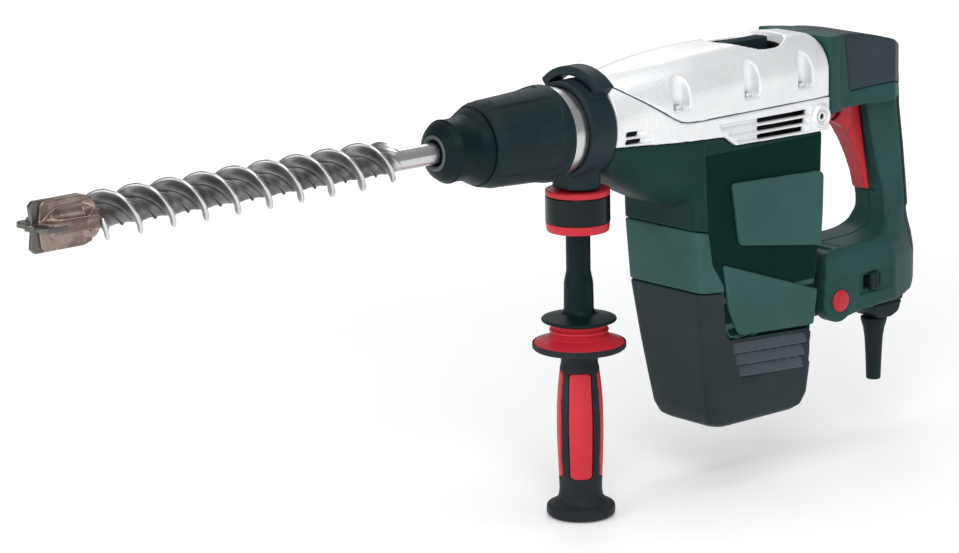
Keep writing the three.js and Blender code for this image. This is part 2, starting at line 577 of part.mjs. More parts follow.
const saddle = () => turned("z", [[-50.8, 7], [-50.8, 23], [-53.5, side.collarR], [-57, side.collarR], [-57, 7]]);
const clampCollar = () => turned("z", [[-57.3, 7], [-57.3, side.collarR], [-80, side.collarR], [-80, 7]]);
const collarRing = () => turned("z", [[-80.3, 7], [-80.3, side.collarR - 0.3], [-88, side.collarR - 0.8], [-88, 7]]);

const handleStem = () => turned("z", [[-56, 0], [-56, 6.4], [-88.4, 6.4], [-88.4, side.stemR], [-122.5, side.stemR],
  [-133, 12.5], [-157, 12.8], [-160, 16], [-163, 31.5], [-164.5, 32.2], [-166, 31], [-166.2, side.coreR],
  [-330, side.coreR], [-330, 0]]);

const handGuard = () => turned("z", [[-166.6, side.coreR + gap], [-166.6, 22], [-168.2, 25], [-171, 22.6],
  [-173.8, 25.2], [-176.5, 22.8], [-179.5, 25.8], [-181.5, 30], [-184, 38.5], [-187, 38.8],
  [-187, side.coreR + gap]], [0, 0, 0], 20);

// The moulded grip: an outline of place and radius, with a steady red core under its windows.
const gripOutline = [[-201, 15.6], [-207, 16.8], [-213, 17.6], [-234, 19.6], [-259, 20.1], [-283.5, 19.6],
  [-307.5, 18.3], [-315, 18.8], [-320, 22]];
const windowTop = -209;
const windowBottom = -302;

function gripCover() {
  const outline = turned("z", [[side.gripTop, 0], [side.gripTop, 39.1], [-185, 39.1], [-185, side.guardR],
    [-188.5, side.guardR], [-190, 38], [-191.5, 18], ...gripOutline, [-325, side.endR - 1],
    [-328, side.endR], [-334, side.endR], [side.bottom, side.endR - 3], [side.bottom, 0]], [0, 0, 0], 20);
  const bore = rod("z", 15.3, -331, -190 + 5);
  const windows = [0, 90].map((angle) =>
    block(-9, 9, -30, 30, windowBottom, windowTop).rotate([0, 0, angle + 49.5]));
  return cut(outline, bore, ...windows);
}

function gripCore() {
  const tube = turned("z", [[side.gripTop - 0.3, side.coreR + gap], [side.gripTop - 0.3, 15], [-330.7, 15],
    [-330.7, side.coreR + gap]]);
  const skin = turned("z", [[windowTop - 0.5, 0], [windowTop - 0.5, 16.9], ...gripOutline.slice(2, 6)
    .map(([z, r]) => [z, r - 0.2]), [windowBottom + 0.5, 18.4], [windowBottom + 0.5, 0]]);
  const pads = join(...[0, 90].map((angle) =>
    block(-8.7, 8.7, -30, 30, windowBottom + 0.5, windowTop - 0.5).rotate([0, 0, angle + 49.5])));
  return cut(join(tube, common(skin, pads)), rod("z", side.coreR + gap, -340, -180));
}

// Assembly ---------------------------------------------------------------------

add(tool, "bit_body", bitBody(), "steel");
add(tool, "cutter_head", cutterHead(), "brazed");
add(tool, "dust_cap", dustCap(), "rubber");
add(tool, "tool_holder", toolHolder(), "steel");
[["locking_roller_top", 1], ["locking_roller_bottom", -1]].forEach(([name, s]) => {
  add(groupAt(0, 0, s * (lock.floor + lock.r + gap)), name, lockingRoller(), "steel");
});
add(tool, "locking_sleeve", lockingSleeve(), "rubber");
add(tool, "sleeve_spring", coil(chuck.springR, chuck.springWire, -85.5, -46.2, 5), "steel");
add(tool, "spindle_tube", spindleTube(), "steel");
add(tool, "crown_gear", crownGear(), "steel");
add(tool, "spindle_bearing", ring("x", 19 + gap, neck.bearingR - gap, neck.bearingX, neck.bearingX + neck.bearingW,
  [0, 0, 0], wideFacets), "steel");

add(tool, "beat_piece", beatPiece(), "steel");
add(tool, "striker", striker(), "steel");
add(tool, "piston", piston(), "steel");
add(tool, "connecting_rod", connectingRod(), "steel");
add(groupAt(crankX, 0, 0), "crank_gear", crankGear(), "steel");
add(groupAt(idlerX, 0, 0), "intermediate_gear", idlerGear(), "steel");

const motor = groupAt(motorX, 0, 0);
add(motor, "rotor", rotor(), "steel");
add(motor, "commutator", ring("z", 5.3, 12, -226, -204, [0, 0, 0], 20), "copper");
add(motor, "cooling_fan", coolingFan(), "black");
add(motor, "stator", ring("z", 23, 36.5, -195, -125), "steel");
add(motor, "upper_motor_bearing", ring("z", 5.3, 10.2, -74, -64.5, [0, 0, 0], 20), "steel");
add(motor, "lower_motor_bearing", ring("z", 4.3, 10.2, -250, -242, [0, 0, 0], 20), "steel");
[["carbon_brush_left", -1], ["carbon_brush_right", 1]].forEach(([name, s]) => {
  const brush = block(-4, 4, s > 0 ? 12.5 : -30, s > 0 ? 30 : -12.5, -220, -210);
  add(motor, name, brush, "carbon");
});

add(tool, "front_neck", frontNeck(), "silver");
add(tool, "front_housing", frontHousing(), "silver");
add(tool, "top_cover", topCover(), "silver");
add(tool, "gear_housing", gearHousing(), "green");
add(tool, "motor_housing", motorHousing(), "green");
add(tool, "base_cap", baseCap(), "black");
scoops.forEach(({ x, y }, i) => {
  const name = `cover_screw_${y < 0 ? "left" : "right"}_${Math.floor(i / 2) + 1}`;
  const screw = turned("z", [[-12.5, 0], [-12.5, 2.4], [screwBase + gap, 2.4], [screwBase + gap, 4.6], [13.2, 4.6],
    [14.2, 3.4], [14.2, 0]], [0, 0, 0], 8);
  add(groupAt(x, y * 0.93, 0), name, screw, "steel");
});
add(groupAt(knob.x, 0, 0), "selector_knob", join(rod("z", knob.r, knob.floor + gap, 38),
  upZ(roundedBox(-26, 26, -7, 7, 6.9), 37, 51), rod("z", 6, 24, 38, [0, 0, 0], 20)), "black");

add(tool, "pivot_pin", join(rod("y", pivot.r, -pivot.cheekHalf - 1, pivot.cheekHalf + 1, [pivot.x, 0, pivot.z], 20),
  ...[-1, 1].map((s) => rod("y", 10.2, s > 0 ? pivot.cheekHalf + gap : -pivot.cheekHalf - 2.6,
    s > 0 ? pivot.cheekHalf + 2.6 : -pivot.cheekHalf - gap, [pivot.x, 0, pivot.z]))), "red");
add(tool, "handle_left", handleShell(-1), "green");
add(tool, "handle_right", handleShell(1), "green");
add(tool, "grip_pad", gripPad(), "rubber");
add(tool, "rear_cap", rearCap(), "rubber");
add(tool, "switch_module", switchModule(), "black");
add(tool, "trigger", trigger(), "red");
add(tool, "trigger_lock", triggerLock(), "red");
add(tool, "mode_slider", modeSlider(), "black");
add(tool, "cable_gland", cableGland(), "black");
add(tool, "strain_relief", strainRelief(), "rubber");

const sideHandle = groupAt(clamp.x, 0, 0);
add(tool, "clamp_band", clampBand(), "black");
add(sideHandle, "clamp_saddle", saddle(), "red");
add(sideHandle, "clamp_collar", clampCollar(), "black");
add(sideHandle, "collar_ring", collarRing(), "red");
add(sideHandle, "handle_stem", handleStem(), "black");
add(sideHandle, "hand_guard", handGuard(), "red");
add(sideHandle, "grip_cover", gripCover(), "rubber");
add(sideHandle, "grip_core", gripCore(), "red");

export default hammer;
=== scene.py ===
import json
import math

import bmesh
import bpy
from mathutils import Matrix, Vector


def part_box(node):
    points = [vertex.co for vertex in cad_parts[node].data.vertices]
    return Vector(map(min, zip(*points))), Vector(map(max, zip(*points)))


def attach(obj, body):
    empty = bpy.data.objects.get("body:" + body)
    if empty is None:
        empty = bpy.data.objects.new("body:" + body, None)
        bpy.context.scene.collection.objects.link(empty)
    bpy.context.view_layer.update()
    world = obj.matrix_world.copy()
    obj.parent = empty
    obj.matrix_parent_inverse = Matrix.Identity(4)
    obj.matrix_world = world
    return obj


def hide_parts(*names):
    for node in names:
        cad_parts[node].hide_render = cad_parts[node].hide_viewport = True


# Rotary hammer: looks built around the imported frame. Shapes are written in millimetres from the tool axis,
# x running back from the front face of the side handle's clamp, and turned into metres as they are made.

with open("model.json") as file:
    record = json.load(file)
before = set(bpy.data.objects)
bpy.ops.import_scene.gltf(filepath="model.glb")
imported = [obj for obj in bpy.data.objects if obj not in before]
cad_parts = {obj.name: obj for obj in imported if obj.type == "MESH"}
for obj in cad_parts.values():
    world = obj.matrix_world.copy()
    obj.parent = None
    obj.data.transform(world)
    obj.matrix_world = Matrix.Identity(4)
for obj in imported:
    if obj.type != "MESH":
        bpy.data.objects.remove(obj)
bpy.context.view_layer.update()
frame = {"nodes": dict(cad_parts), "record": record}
sleeveLow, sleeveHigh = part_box("locking_sleeve")
bandLow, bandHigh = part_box("clamp_band")
toolOrigin = Vector((bandLow.x - 0.0006, 0, (sleeveLow.z + sleeveHigh.z) / 2))
print("frame loaded, tool axis at", round(toolOrigin.z, 4))


# Camera and light

cameraSetup = {"place": (-2007.7, -2243.6, 586.8), "heading": 49.487, "pitch": 13.283, "roll": -1.01,
               "lens": 138.3, "sensor": 36}


def buildCamera():
    c = cameraSetup
    heading, pitch, roll = (math.radians(c[k]) for k in ("heading", "pitch", "roll"))
    ahead = Vector((math.cos(heading) * math.cos(pitch), math.sin(heading) * math.cos(pitch), -math.sin(pitch)))
    level = Vector((math.sin(heading), -math.cos(heading), 0))
    upward = level.cross(ahead)
    right = level * math.cos(roll) + upward * math.sin(roll)
    top = right.cross(ahead)
    camera = bpy.data.objects.new("camera", bpy.data.cameras.new("camera"))
    bpy.context.scene.collection.objects.link(camera)
    camera.data.lens = c["lens"]
    camera.data.sensor_width = c["sensor"]
    camera.data.clip_end = 50
    turn = Matrix((right, top, -ahead)).transposed().to_4x4()
    camera.matrix_world = Matrix.Translation(toolOrigin + Vector(c["place"]) * 0.001) @ turn
    bpy.context.scene.camera = camera


studio = {
    "sky": 0.36,
    "lamps": {  # place, size and power; each one faces the middle of the tool
        "key": ((-1.5, -1.6, 1.7), 1.3, 30),
        "front": ((-2.5, 0.1, 0.8), 1.4, 16),
        "rim": ((1.2, 1.6, 1.6), 1.2, 8),
        "top": ((0.0, -0.2, 2.4), 1.6, 15),
    },
}


def buildStudio():
    scene = bpy.context.scene
    scene.view_settings.view_transform = "Standard"
    world = bpy.data.worlds.new("studio")
    scene.world = world
    world.use_nodes = True
    tree = world.node_tree
    soft = tree.nodes["Background"]
    soft.inputs["Strength"].default_value = studio["sky"]
    soft.inputs["Color"].default_value = (0.97, 0.985, 1, 1)
    paper = tree.nodes.new("ShaderNodeBackground")
    paper.inputs["Color"].default_value = (1, 1, 1, 1)
    seen = tree.nodes.new("ShaderNodeLightPath")
    both = tree.nodes.new("ShaderNodeMixShader")
    tree.links.new(seen.outputs["Is Camera Ray"], both.inputs[0])
    tree.links.new(soft.outputs[0], both.inputs[1])
    tree.links.new(paper.outputs[0], both.inputs[2])
    tree.links.new(both.outputs[0], tree.nodes["World Output"].inputs["Surface"])
    for name, (place, size, power) in studio["lamps"].items():
        lamp = bpy.data.lights.new(name, "AREA")
        lamp.size = size
        lamp.energy = power
        obj = bpy.data.objects.new(name, lamp)
        scene.collection.objects.link(obj)
        obj.location = place
        obj.rotation_euler = (Vector((0, 0, 0.2)) - Vector(place)).to_track_quat("-Z", "Y").to_euler()


# Materials

class Value:
    def __init__(self, tree, socket):
        self.tree = tree
        self.socket = socket

    def math(self, operation, *others):
        node = self.tree.nodes.new("ShaderNodeMath")
        node.operation = operation
        for place, item in enumerate((self, *others)):
            if isinstance(item, Value):
                self.tree.links.new(item.socket, node.inputs[place])
            else:
                node.inputs[place].default_value = item
        return Value(self.tree, node.outputs[0])

    def __add__(self, other):
        return self.math("ADD", other)

    def __mul__(self, other):
        return self.math("MULTIPLY", other)

    def __sub__(self, other):
        return self.math("SUBTRACT", other)

    def __rsub__(self, other):
        return (self * -1) + other

    def __truediv__(self, other):
        return self.math("DIVIDE", other)

    __radd__ = __add__
    __rmul__ = __mul__

    def clamped(self):
        return self.math("MAXIMUM", 0).math("MINIMUM", 1)

    def step(self, low, high):
        share = ((self - low) / (high - low)).clamped()
        return share * share * (3 - 2 * share)


class Finish:
    def __init__(self, name, **fixed):
        self.material = bpy.data.materials.new(name)
        self.material.use_nodes = True
        self.tree = self.material.node_tree
        self.shader = self.tree.nodes["Principled BSDF"]
        for socket, number in fixed.items():
            self.shader.inputs[socket.replace("_", " ")].default_value = number

    def add(self, kind, settings=None, **inputs):
        node = self.tree.nodes.new(kind)
        for key, setting in (settings or {}).items():
            setattr(node, key, setting)
        for key, item in inputs.items():
            self.feed(node.inputs[key.replace("_", " ")], item)
        return node

    def feed(self, socket, item):
        if isinstance(item, Value):
            self.tree.links.new(item.socket, socket)
        elif isinstance(item, bpy.types.NodeSocket):
            self.tree.links.new(item, socket)
        else:
            socket.default_value = item

    def value(self, socket):
        return Value(self.tree, socket)

    def place(self):
        return self.add("ShaderNodeTexCoord").outputs["Object"]

    def noise(self, scale, detail=3.0, stretch=(1, 1, 1)):
        mapped = self.add("ShaderNodeMapping", None, Vector=self.place(), Scale=stretch)
        node = self.add("ShaderNodeTexNoise", None, Vector=mapped.outputs[0], Scale=scale, Detail=detail)
        return self.value(node.outputs[0])

    def blend(self, share, first, second):
        node = self.add("ShaderNodeMix", {"data_type": "RGBA"})
        self.feed(node.inputs[0], share)
        for socket, item in ((node.inputs[6], first), (node.inputs[7], second)):
            self.feed(socket, (*item, 1) if isinstance(item, tuple) else item)
        return node.outputs[2]

    def edges(self, low=0.52, high=0.6):
        return self.value(self.add("ShaderNodeNewGeometry").outputs["Pointiness"]).step(low, high)

    def finish(self, colour, roughness=None, height=None, distance=0.0002, strength=0.3):
        self.feed(self.shader.inputs["Base Color"], colour)
        if roughness is not None:
            self.feed(self.shader.inputs["Roughness"], roughness)
        if height is not None:
            bump = self.add("ShaderNodeBump", None, Height=height, Distance=distance, Strength=strength)
            self.tree.links.new(bump.outputs[0], self.shader.inputs["Normal"])
        return self.material


def mouldedPlastic(name, dark, light, roughness, grain=1500, relief=0.25, shine=0.14):
    f = Finish(name, Specular_IOR_Level=shine)
    fine = f.noise(grain, 2)
    broad = f.noise(14, 4)
    colour = f.blend((broad * 0.6 + fine * 0.4).step(0.3, 0.7), dark, light)
    worn = f.blend(f.edges(0.53, 0.62) * 0.25, colour, tuple(min(1, c * 2.2 + 0.02) for c in light))
    return f.finish(worn, roughness + (fine - 0.5) * 0.16 + (broad - 0.5) * 0.1, fine, 0.00025, relief)


def softRubber(name, dark, light, roughness):
    f = Finish(name, Specular_IOR_Level=0.12, Sheen_Weight=0.02, Sheen_Roughness=0.4)
    fine = f.noise(2400, 2)
    dust = f.noise(30, 5).step(0.45, 0.75)
    colour = f.blend(dust * 0.6 + fine * 0.2, dark, light)
    return f.finish(colour, roughness + (fine - 0.5) * 0.2, fine, 0.0002, 0.3)


def silverPaint():
    f = Finish("silver_paint", Metallic=0.35, Coat_Weight=0.12, Coat_Roughness=0.25)
    flake = f.noise(1300, 2)
    cloud = f.noise(22, 3)
    colour = f.blend((flake * 0.7 + cloud * 0.3).step(0.32, 0.68), (0.74, 0.755, 0.77), (0.93, 0.94, 0.95))
    worn = f.blend(f.edges(0.54, 0.64) * 0.3, colour, (0.9, 0.9, 0.9))
    return f.finish(worn, 0.36 + (flake - 0.5) * 0.22, flake, 0.00012, 0.2)


def turnedMetal(name, dark, light, roughness, stretch, scale=900):
    f = Finish(name, Metallic=1.0)
    lines = f.noise(scale, 3, stretch)
    stain = f.noise(35, 4)
    colour = f.blend(lines * 0.6 + stain * 0.4, dark, light)
    return f.finish(colour, roughness + (lines - 0.5) * 0.25, lines, 0.0001, 0.25)


bitFinish = {"landRadius": 0.0192, "valleyRadius": 0.0168}


def bitSteel():
    f = Finish("bit_steel", Metallic=1.0)
    xyz = f.add("ShaderNodeSeparateXYZ", None, Vector=f.place())
    y = f.value(xyz.outputs[1])
    z = f.value(xyz.outputs[2]) - toolOrigin.z
    radius = (y * y + z * z).math("SQRT")
    land = radius.step(bitFinish["valleyRadius"], bitFinish["landRadius"])
    shank = f.value(xyz.outputs[0]).step(toolOrigin.x - 0.190, toolOrigin.x - 0.180)
    bright = (land + shank).clamped()
    grit = f.noise(1600, 3)
    scale = f.noise(60, 6)
    valley = f.blend((scale * 0.7 + grit * 0.3).step(0.3, 0.7), (0.09, 0.088, 0.085), (0.24, 0.235, 0.23))
    ground = f.blend(f.noise(900, 2, (8, 1, 1)), (0.50, 0.50, 0.50), (0.76, 0.76, 0.76))
    return f.finish(f.blend(bright, valley, ground), 0.42 - bright * 0.18 + (grit - 0.5) * 0.2, grit, 0.00015, 0.3)


def brazedSteel():
    f = Finish("brazed_steel", Metallic=0.9)
    grit = f.noise(900, 4)
    tint = f.noise(70, 4)
    base = f.blend(tint.step(0.35, 0.65), (0.17, 0.120, 0.105), (0.30, 0.230, 0.205))
    colour = f.blend(f.noise(180, 3).step(0.55, 0.75) * 0.35, base, (0.55, 0.50, 0.46))
    return f.finish(colour, 0.34 + (grit - 0.5) * 0.3, grit, 0.0002, 0.35)


def buildMaterials():
    return {
        "green": mouldedPlastic("green_plastic", (0.014, 0.058, 0.052), (0.022, 0.078, 0.070), 0.5),
        # deep: a darker copy of the green plastic, painted shade for the downward-facing belly of the gear housing
        "deep": mouldedPlastic("green_painted_shade", (0.002, 0.022, 0.019), (0.005, 0.036, 0.031), 0.5),
        # panel: a lighter copy of the green plastic; the extra brightness is painted light for the lit motor housing
        # and raised panels, which also carry a coarser real texture
        "panel": mouldedPlastic("green_panel_painted_light", (0.027, 0.080, 0.073), (0.044, 0.112, 0.102), 0.6, 1100, 0.4),
        # field: a darker copy of the green plastic; the darkness of the recessed side field is painted shade, not a
        # different plastic
        "field": mouldedPlastic("green_field_painted_shade", (0.001, 0.016, 0.014), (0.002, 0.024, 0.021), 0.45, 1800, 0.1, 0.04),
        "black": mouldedPlastic("black_plastic", (0.010, 0.021, 0.026), (0.018, 0.033, 0.040), 0.46),
        "gloss": mouldedPlastic("gloss_black", (0.001, 0.005, 0.006), (0.002, 0.009, 0.010), 0.24, 1500, 0.05, 0.2),
        "cap": mouldedPlastic("charcoal_plastic", (0.014, 0.024, 0.027), (0.023, 0.036, 0.040), 0.5, 1300),
        "hood": mouldedPlastic("hood_plastic", (0.020, 0.034, 0.042), (0.036, 0.054, 0.064), 0.5, 1300),
        "louvre": mouldedPlastic("louvre_plastic", (0.055, 0.068, 0.080), (0.080, 0.096, 0.110), 0.45, 1300),
        "rubber": softRubber("soft_black", (0.008, 0.018, 0.021), (0.017, 0.031, 0.035), 0.5),
        "ebony": softRubber("dark_rubber", (0.001, 0.009, 0.011), (0.004, 0.016, 0.018), 0.45),
        "grip": softRubber("grip_black", (0.014, 0.018, 0.022), (0.028, 0.032, 0.038), 0.55),
        "red": mouldedPlastic("red_plastic", (0.46, 0.014, 0.026), (0.58, 0.024, 0.038), 0.38, 1500, 0.12, 0.3),
        "silver": silverPaint(),
        "ring": turnedMetal("turned_ring", (0.5, 0.5, 0.5), (0.8, 0.8, 0.79), 0.3, (6, 0.4, 0.4)),
        "steel": turnedMetal("machined_steel", (0.36, 0.36, 0.37), (0.62, 0.62, 0.63), 0.32, (1, 1, 1)),
        "screw": turnedMetal("zinc_screw", (0.5, 0.5, 0.5), (0.8, 0.8, 0.8), 0.25, (1, 1, 1)),
        "alloy": turnedMetal("cast_alloy", (0.5, 0.5, 0.51), (0.7, 0.7, 0.71), 0.4, (1, 1, 1)),
        "copper": turnedMetal("copper", (0.45, 0.2, 0.1), (0.7, 0.36, 0.2), 0.3, (1, 1, 8)),
        "carbon": mouldedPlastic("carbon", (0.01, 0.01, 0.01), (0.03, 0.03, 0.03), 0.6),
        # dark: near-black put in the eye holes and behind the vent slots as painted shade; the knob bezel also uses
        # it
        "dark": mouldedPlastic("painted_shade_black", (0.004, 0.005, 0.006), (0.009, 0.01, 0.012), 0.7),
        "bit": bitSteel(),
        "brazed": brazedSteel(),
        "carbide": turnedMetal("carbide", (0.08, 0.075, 0.07), (0.2, 0.19, 0.18), 0.35, (1, 1, 1), 1500),
        "nose": mouldedPlastic("nose_grey", (0.06, 0.07, 0.075), (0.1, 0.115, 0.12), 0.4),
    }


# Mesh tools

def linked(name, data):
    obj = bpy.data.objects.new(name, data)
    bpy.context.scene.collection.objects.link(obj)
    return obj


def cleaned(data, fill=False):
    bm = bmesh.new()
    bm.from_mesh(data)
    bmesh.ops.remove_doubles(bm, verts=bm.verts, dist=2e-6)
    bmesh.ops.dissolve_degenerate(bm, edges=bm.edges, dist=1e-7)
    if fill:
        bmesh.ops.holes_fill(bm, edges=[e for e in bm.edges if e.is_boundary], sides=0)
    bmesh.ops.recalc_face_normals(bm, faces=bm.faces)
    bm.to_mesh(data)
    bm.free()
    return data


def solid(name, points, faces):
    data = bpy.data.meshes.new(name)
    data.from_pydata([toolOrigin + Vector(p) * 0.001 for p in points], [], faces)
    return linked(name, cleaned(data))


axisPlaces = {
    "x": lambda along, a, b: (along, a, b),
    "y": lambda along, a, b: (a, along, b),
    "z": lambda along, a, b: (a, b, along),
}


def spun(name, profile, axis="x", centre=(0, 0, 0), sides=96, shape=None):
    points, faces = [], []
    for along, radius in profile:
        for i in range(sides):
            a = 2 * math.pi * i / sides
            r = shape(along, radius, a) if shape else radius
            p = axisPlaces[axis](along, r * math.cos(a), r * math.sin(a))
            points.append([c + q for c, q in zip(centre, p)])
    count = len(profile)
    onAxis = profile[0][1] == 0 and profile[-1][1] == 0
    for k in range(count - 1 if onAxis else count):
        low, high = k * sides, ((k + 1) % count) * sides
        for i in range(sides):
            j = (i + 1) % sides
            faces.append((low + i, low + j, high + j, high + i))
    return solid(name, points, faces)


def divided(outline, most):
    result = []
    for k, corner in enumerate(outline):
        here, there = Vector(corner), Vector(outline[(k + 1) % len(outline)])
        count = max(1, math.ceil((there - here).length / most))
        result += [tuple(here.lerp(there, i / count)) for i in range(count)]
    return result


def filleted(outline, radius, steps=4, closed=True, skip=()):
    result = []
    count = len(outline)
    for k, corner in enumerate(outline):
        here = Vector(corner)
        if k in skip or (not closed and k in (0, count - 1)):
            result.append(tuple(here))
            continue
        before = Vector(outline[k - 1]) - here
        after = Vector(outline[(k + 1) % count]) - here
        reach = min(radius, before.length * 0.45, after.length * 0.45)
        first = here + before.normalized() * reach
        last = here + after.normalized() * reach
        for i in range(steps + 1):
            t = i / steps
            result.append(tuple(first * (1 - t) ** 2 + here * 2 * t * (1 - t) + last * t ** 2))
    return result


def prism(outline, axis, low, high, name="tool"):
    count = len(outline)
    points = [axisPlaces[axis](along, *p) for along in (low, high) for p in outline]
    faces = [tuple(range(count)), tuple(range(count, 2 * count))]
    faces += [(i, (i + 1) % count, count + (i + 1) % count, count + i) for i in range(count)]
    return solid(name, points, faces)


def block(x0, x1, y0, y1, z0, z1):
    return prism([(x0, y0), (x1, y0), (x1, y1), (x0, y1)], "z", z0, z1)


def rod(axis, r, low, high, centre=(0, 0, 0), sides=48):
    return spun("tool", [(low, 0), (low, r), (high, r), (high, 0)], axis, centre, sides)


def loft(rings, name="tool"):
    count = len(rings[0])
    points = [p for ring in rings for p in ring]
    faces = [tuple(range(count)), tuple(range(len(points) - count, len(points)))]
    for k in range(len(rings) - 1):
        for i in range(count):
            j = (i + 1) % count
            a, b = k * count, (k + 1) * count
            faces.append((a + i, a + j, b + j, b + i))
    return solid(name, points, faces)


def settled(obj):
    bpy.context.view_layer.update()
    graph = bpy.context.evaluated_depsgraph_get()
    data = bpy.data.meshes.new_from_object(obj.evaluated_get(graph))
    obj.modifiers.clear()
    obj.data = data
    return obj


def combined(obj, others, operation):
    for other in others:
        mod = obj.modifiers.new("shape", "BOOLEAN")
        mod.operation = operation
        mod.solver = "MANIFOLD"
        mod.object = other
        settled(obj)
        bpy.data.objects.remove(other)
    return obj


def joined(obj, *others):
    return combined(obj, others, "UNION")


def cut(obj, *others):
    return combined(obj, others, "DIFFERENCE")


def common(obj, *others):
    return combined(obj, others, "INTERSECT")


def copied(obj):
    return linked("tool", obj.data.copy())


def moulded(obj, voxel, rounds, name):
    skin = obj.modifiers.new("skin", "REMESH")
    skin.mode = "VOXEL"
    skin.voxel_size = voxel * 0.001
    smooth = obj.modifiers.new("round", "SMOOTH")
    smooth.factor = 0.5
    smooth.iterations = rounds
    settled(obj)
    obj.name = name
    return obj


def piece(obj, name, material, body, slot, *nodes):
    obj.name = name
    obj.data.name = name
    for face in obj.data.polygons:
        face.use_smooth = True
    obj.data.materials.clear()
    obj.data.materials.append(materials[material])
    if nodes:
        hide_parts(*nodes)
    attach(obj, body)
    return obj


def sharpened(obj, angle=32):
    obj.data.set_sharp_from_angle(angle=math.radians(angle))
    return obj


# Geometry Nodes helpers

def nodeTree(name, inputs):
    tree = bpy.data.node_groups.new(name, "GeometryNodeTree")
    tree.interface.new_socket("Geometry", in_out="INPUT", socket_type="NodeSocketGeometry")
    ids = {}
    for label, (kind, start) in inputs.items():
        socket = tree.interface.new_socket(label, in_out="INPUT", socket_type=kind)
        socket.default_value = start
        ids[label] = socket.identifier
    tree.interface.new_socket("Geometry", in_out="OUTPUT", socket_type="NodeSocketGeometry")
    start = tree.nodes.new("NodeGroupInput")
    end = tree.nodes.new("NodeGroupOutput")
    return tree, start, end, ids


def treeNode(tree, kind, settings=None, **inputs):
    node = tree.nodes.new(kind)
    for key, setting in (settings or {}).items():
        setattr(node, key, setting)
    for key, item in inputs.items():
        numbered = key[0] == "n" and key[1:].isdigit()  # n0, n1 are sockets by number, the rest go by name
        socket = node.inputs[int(key[1:]) if numbered else key.replace("_", " ")]
        if isinstance(item, Value):
            tree.links.new(item.socket, socket)
        elif isinstance(item, bpy.types.NodeSocket):
            tree.links.new(item, socket)
        else:
            socket.default_value = item
    return node


def grown(tree, ids, values, name):
    obj = linked(name, bpy.data.meshes.new(name))
    mod = obj.modifiers.new("nodes", "NODES")
    mod.node_group = tree
    for label, number in values.items():
        mod[ids[label]] = number
    settled(obj)
    return obj


def xyzOf(tree, x, y, z):
    return treeNode(tree, "ShaderNodeCombineXYZ", None, n0=x, n1=y, n2=z).outputs[0]


def finishTree(tree, end, geometry, material):
    real = treeNode(tree, "GeometryNodeRealizeInstances", None, Geometry=geometry)
    done = treeNode(tree, "GeometryNodeSetMaterial", None, Geometry=real.outputs[0], Material=materials[material])
    tree.links.new(done.outputs[0], end.inputs[0])


materials = buildMaterials()
buildCamera()
buildStudio()


# Drill bit

bitShape = {"from": -475.0, "to": -48.0, "lead": 61.8, "outer": 19.4, "core": 9.6, "shank": 9.0, "rib": 2.0,
            "landHalf": 7.0, "flank": 9.0, "ribHalf": 9.0, "runout": (-192.0, -174.0), "along": 520, "around": 120}


def buildBit():
    b = bitShape
    numbers = {k: ("NodeSocketFloat", float(b[k])) for k in ("from", "to", "lead", "outer", "core", "shank", "rib")}
    tree, start, end, ids = nodeTree("fluted_bar", numbers)
    given = {k: Value(tree, start.outputs[k]) for k in numbers}
    grid = treeNode(tree, "GeometryNodeMeshGrid", None, Size_X=1.0, Size_Y=1.0, Vertices_X=b["along"],
                    Vertices_Y=b["around"] + 1)
    spot = treeNode(tree, "ShaderNodeSeparateXYZ", None, n0=treeNode(tree, "GeometryNodeInputPosition").outputs[0])
    u = Value(tree, spot.outputs[0]) + 0.5
    angle = (Value(tree, spot.outputs[1]) + 0.5) * (2 * math.pi)
    x = given["from"] + u * (given["to"] - given["from"])
    away = angle.math("COSINE").math("ABSOLUTE").math("MINIMUM", 0.999999).math("ARCCOSINE") * (180 / math.pi)
    land = 1 - away.step(b["landHalf"], b["landHalf"] + b["flank"])
    rib = 1 - (90 - away).step(1.0, b["ribHalf"])
    bowl = away.step(28, 60) * -0.8
    fluted = given["core"] + land * (given["outer"] - given["core"]) + rib * given["rib"] + bowl
    ending = x.step(*b["runout"])
    chamfer = x.step(b["to"] - 2.5, b["to"]) * -1.6
    radius = (fluted * (1 - ending) + given["shank"] * ending) + chamfer
    turn = angle + (x - given["from"]) / given["lead"] * (2 * math.pi)
    place = xyzOf(tree, x * 0.001 + toolOrigin.x, radius * turn.math("COSINE") * 0.001,
                  radius * turn.math("SINE") * 0.001 + toolOrigin.z)
    moved = treeNode(tree, "GeometryNodeSetPosition", None, Geometry=grid.outputs[0], Position=place)
    finishTree(tree, end, moved.outputs[0], "bit")
    bar = grown(tree, ids, {k: float(b[k]) for k in numbers}, "drill_bit")
    cleaned(bar.data, fill=True)
    seats = [block(-104.6, -79.4, -3.4, 3.4, *sorted((s * 6, s * 11))) for s in (-1, 1)]
    keys = [block(-108, -47, *sorted((s * 6, s * 11)), -2.6, 2.6) for s in (-1, 1)]
    cut(bar, *seats, *keys)
    piece(bar, "drill_bit", "bit", "bit", "bit_steel", "bit_body")


headShape = {"tip": -533.0, "rear": -475.3, "radius": 20.0, "wing": 8.5, "plate": 4.2, "hub": 13.5}


def turnedAbout(obj, degrees, axis="X", centre=None):
    centre = toolOrigin if centre is None else centre
    obj.data.transform(Matrix.Translation(centre) @ Matrix.Rotation(math.radians(degrees), 4, axis)
                       @ Matrix.Translation(-centre))
    return obj


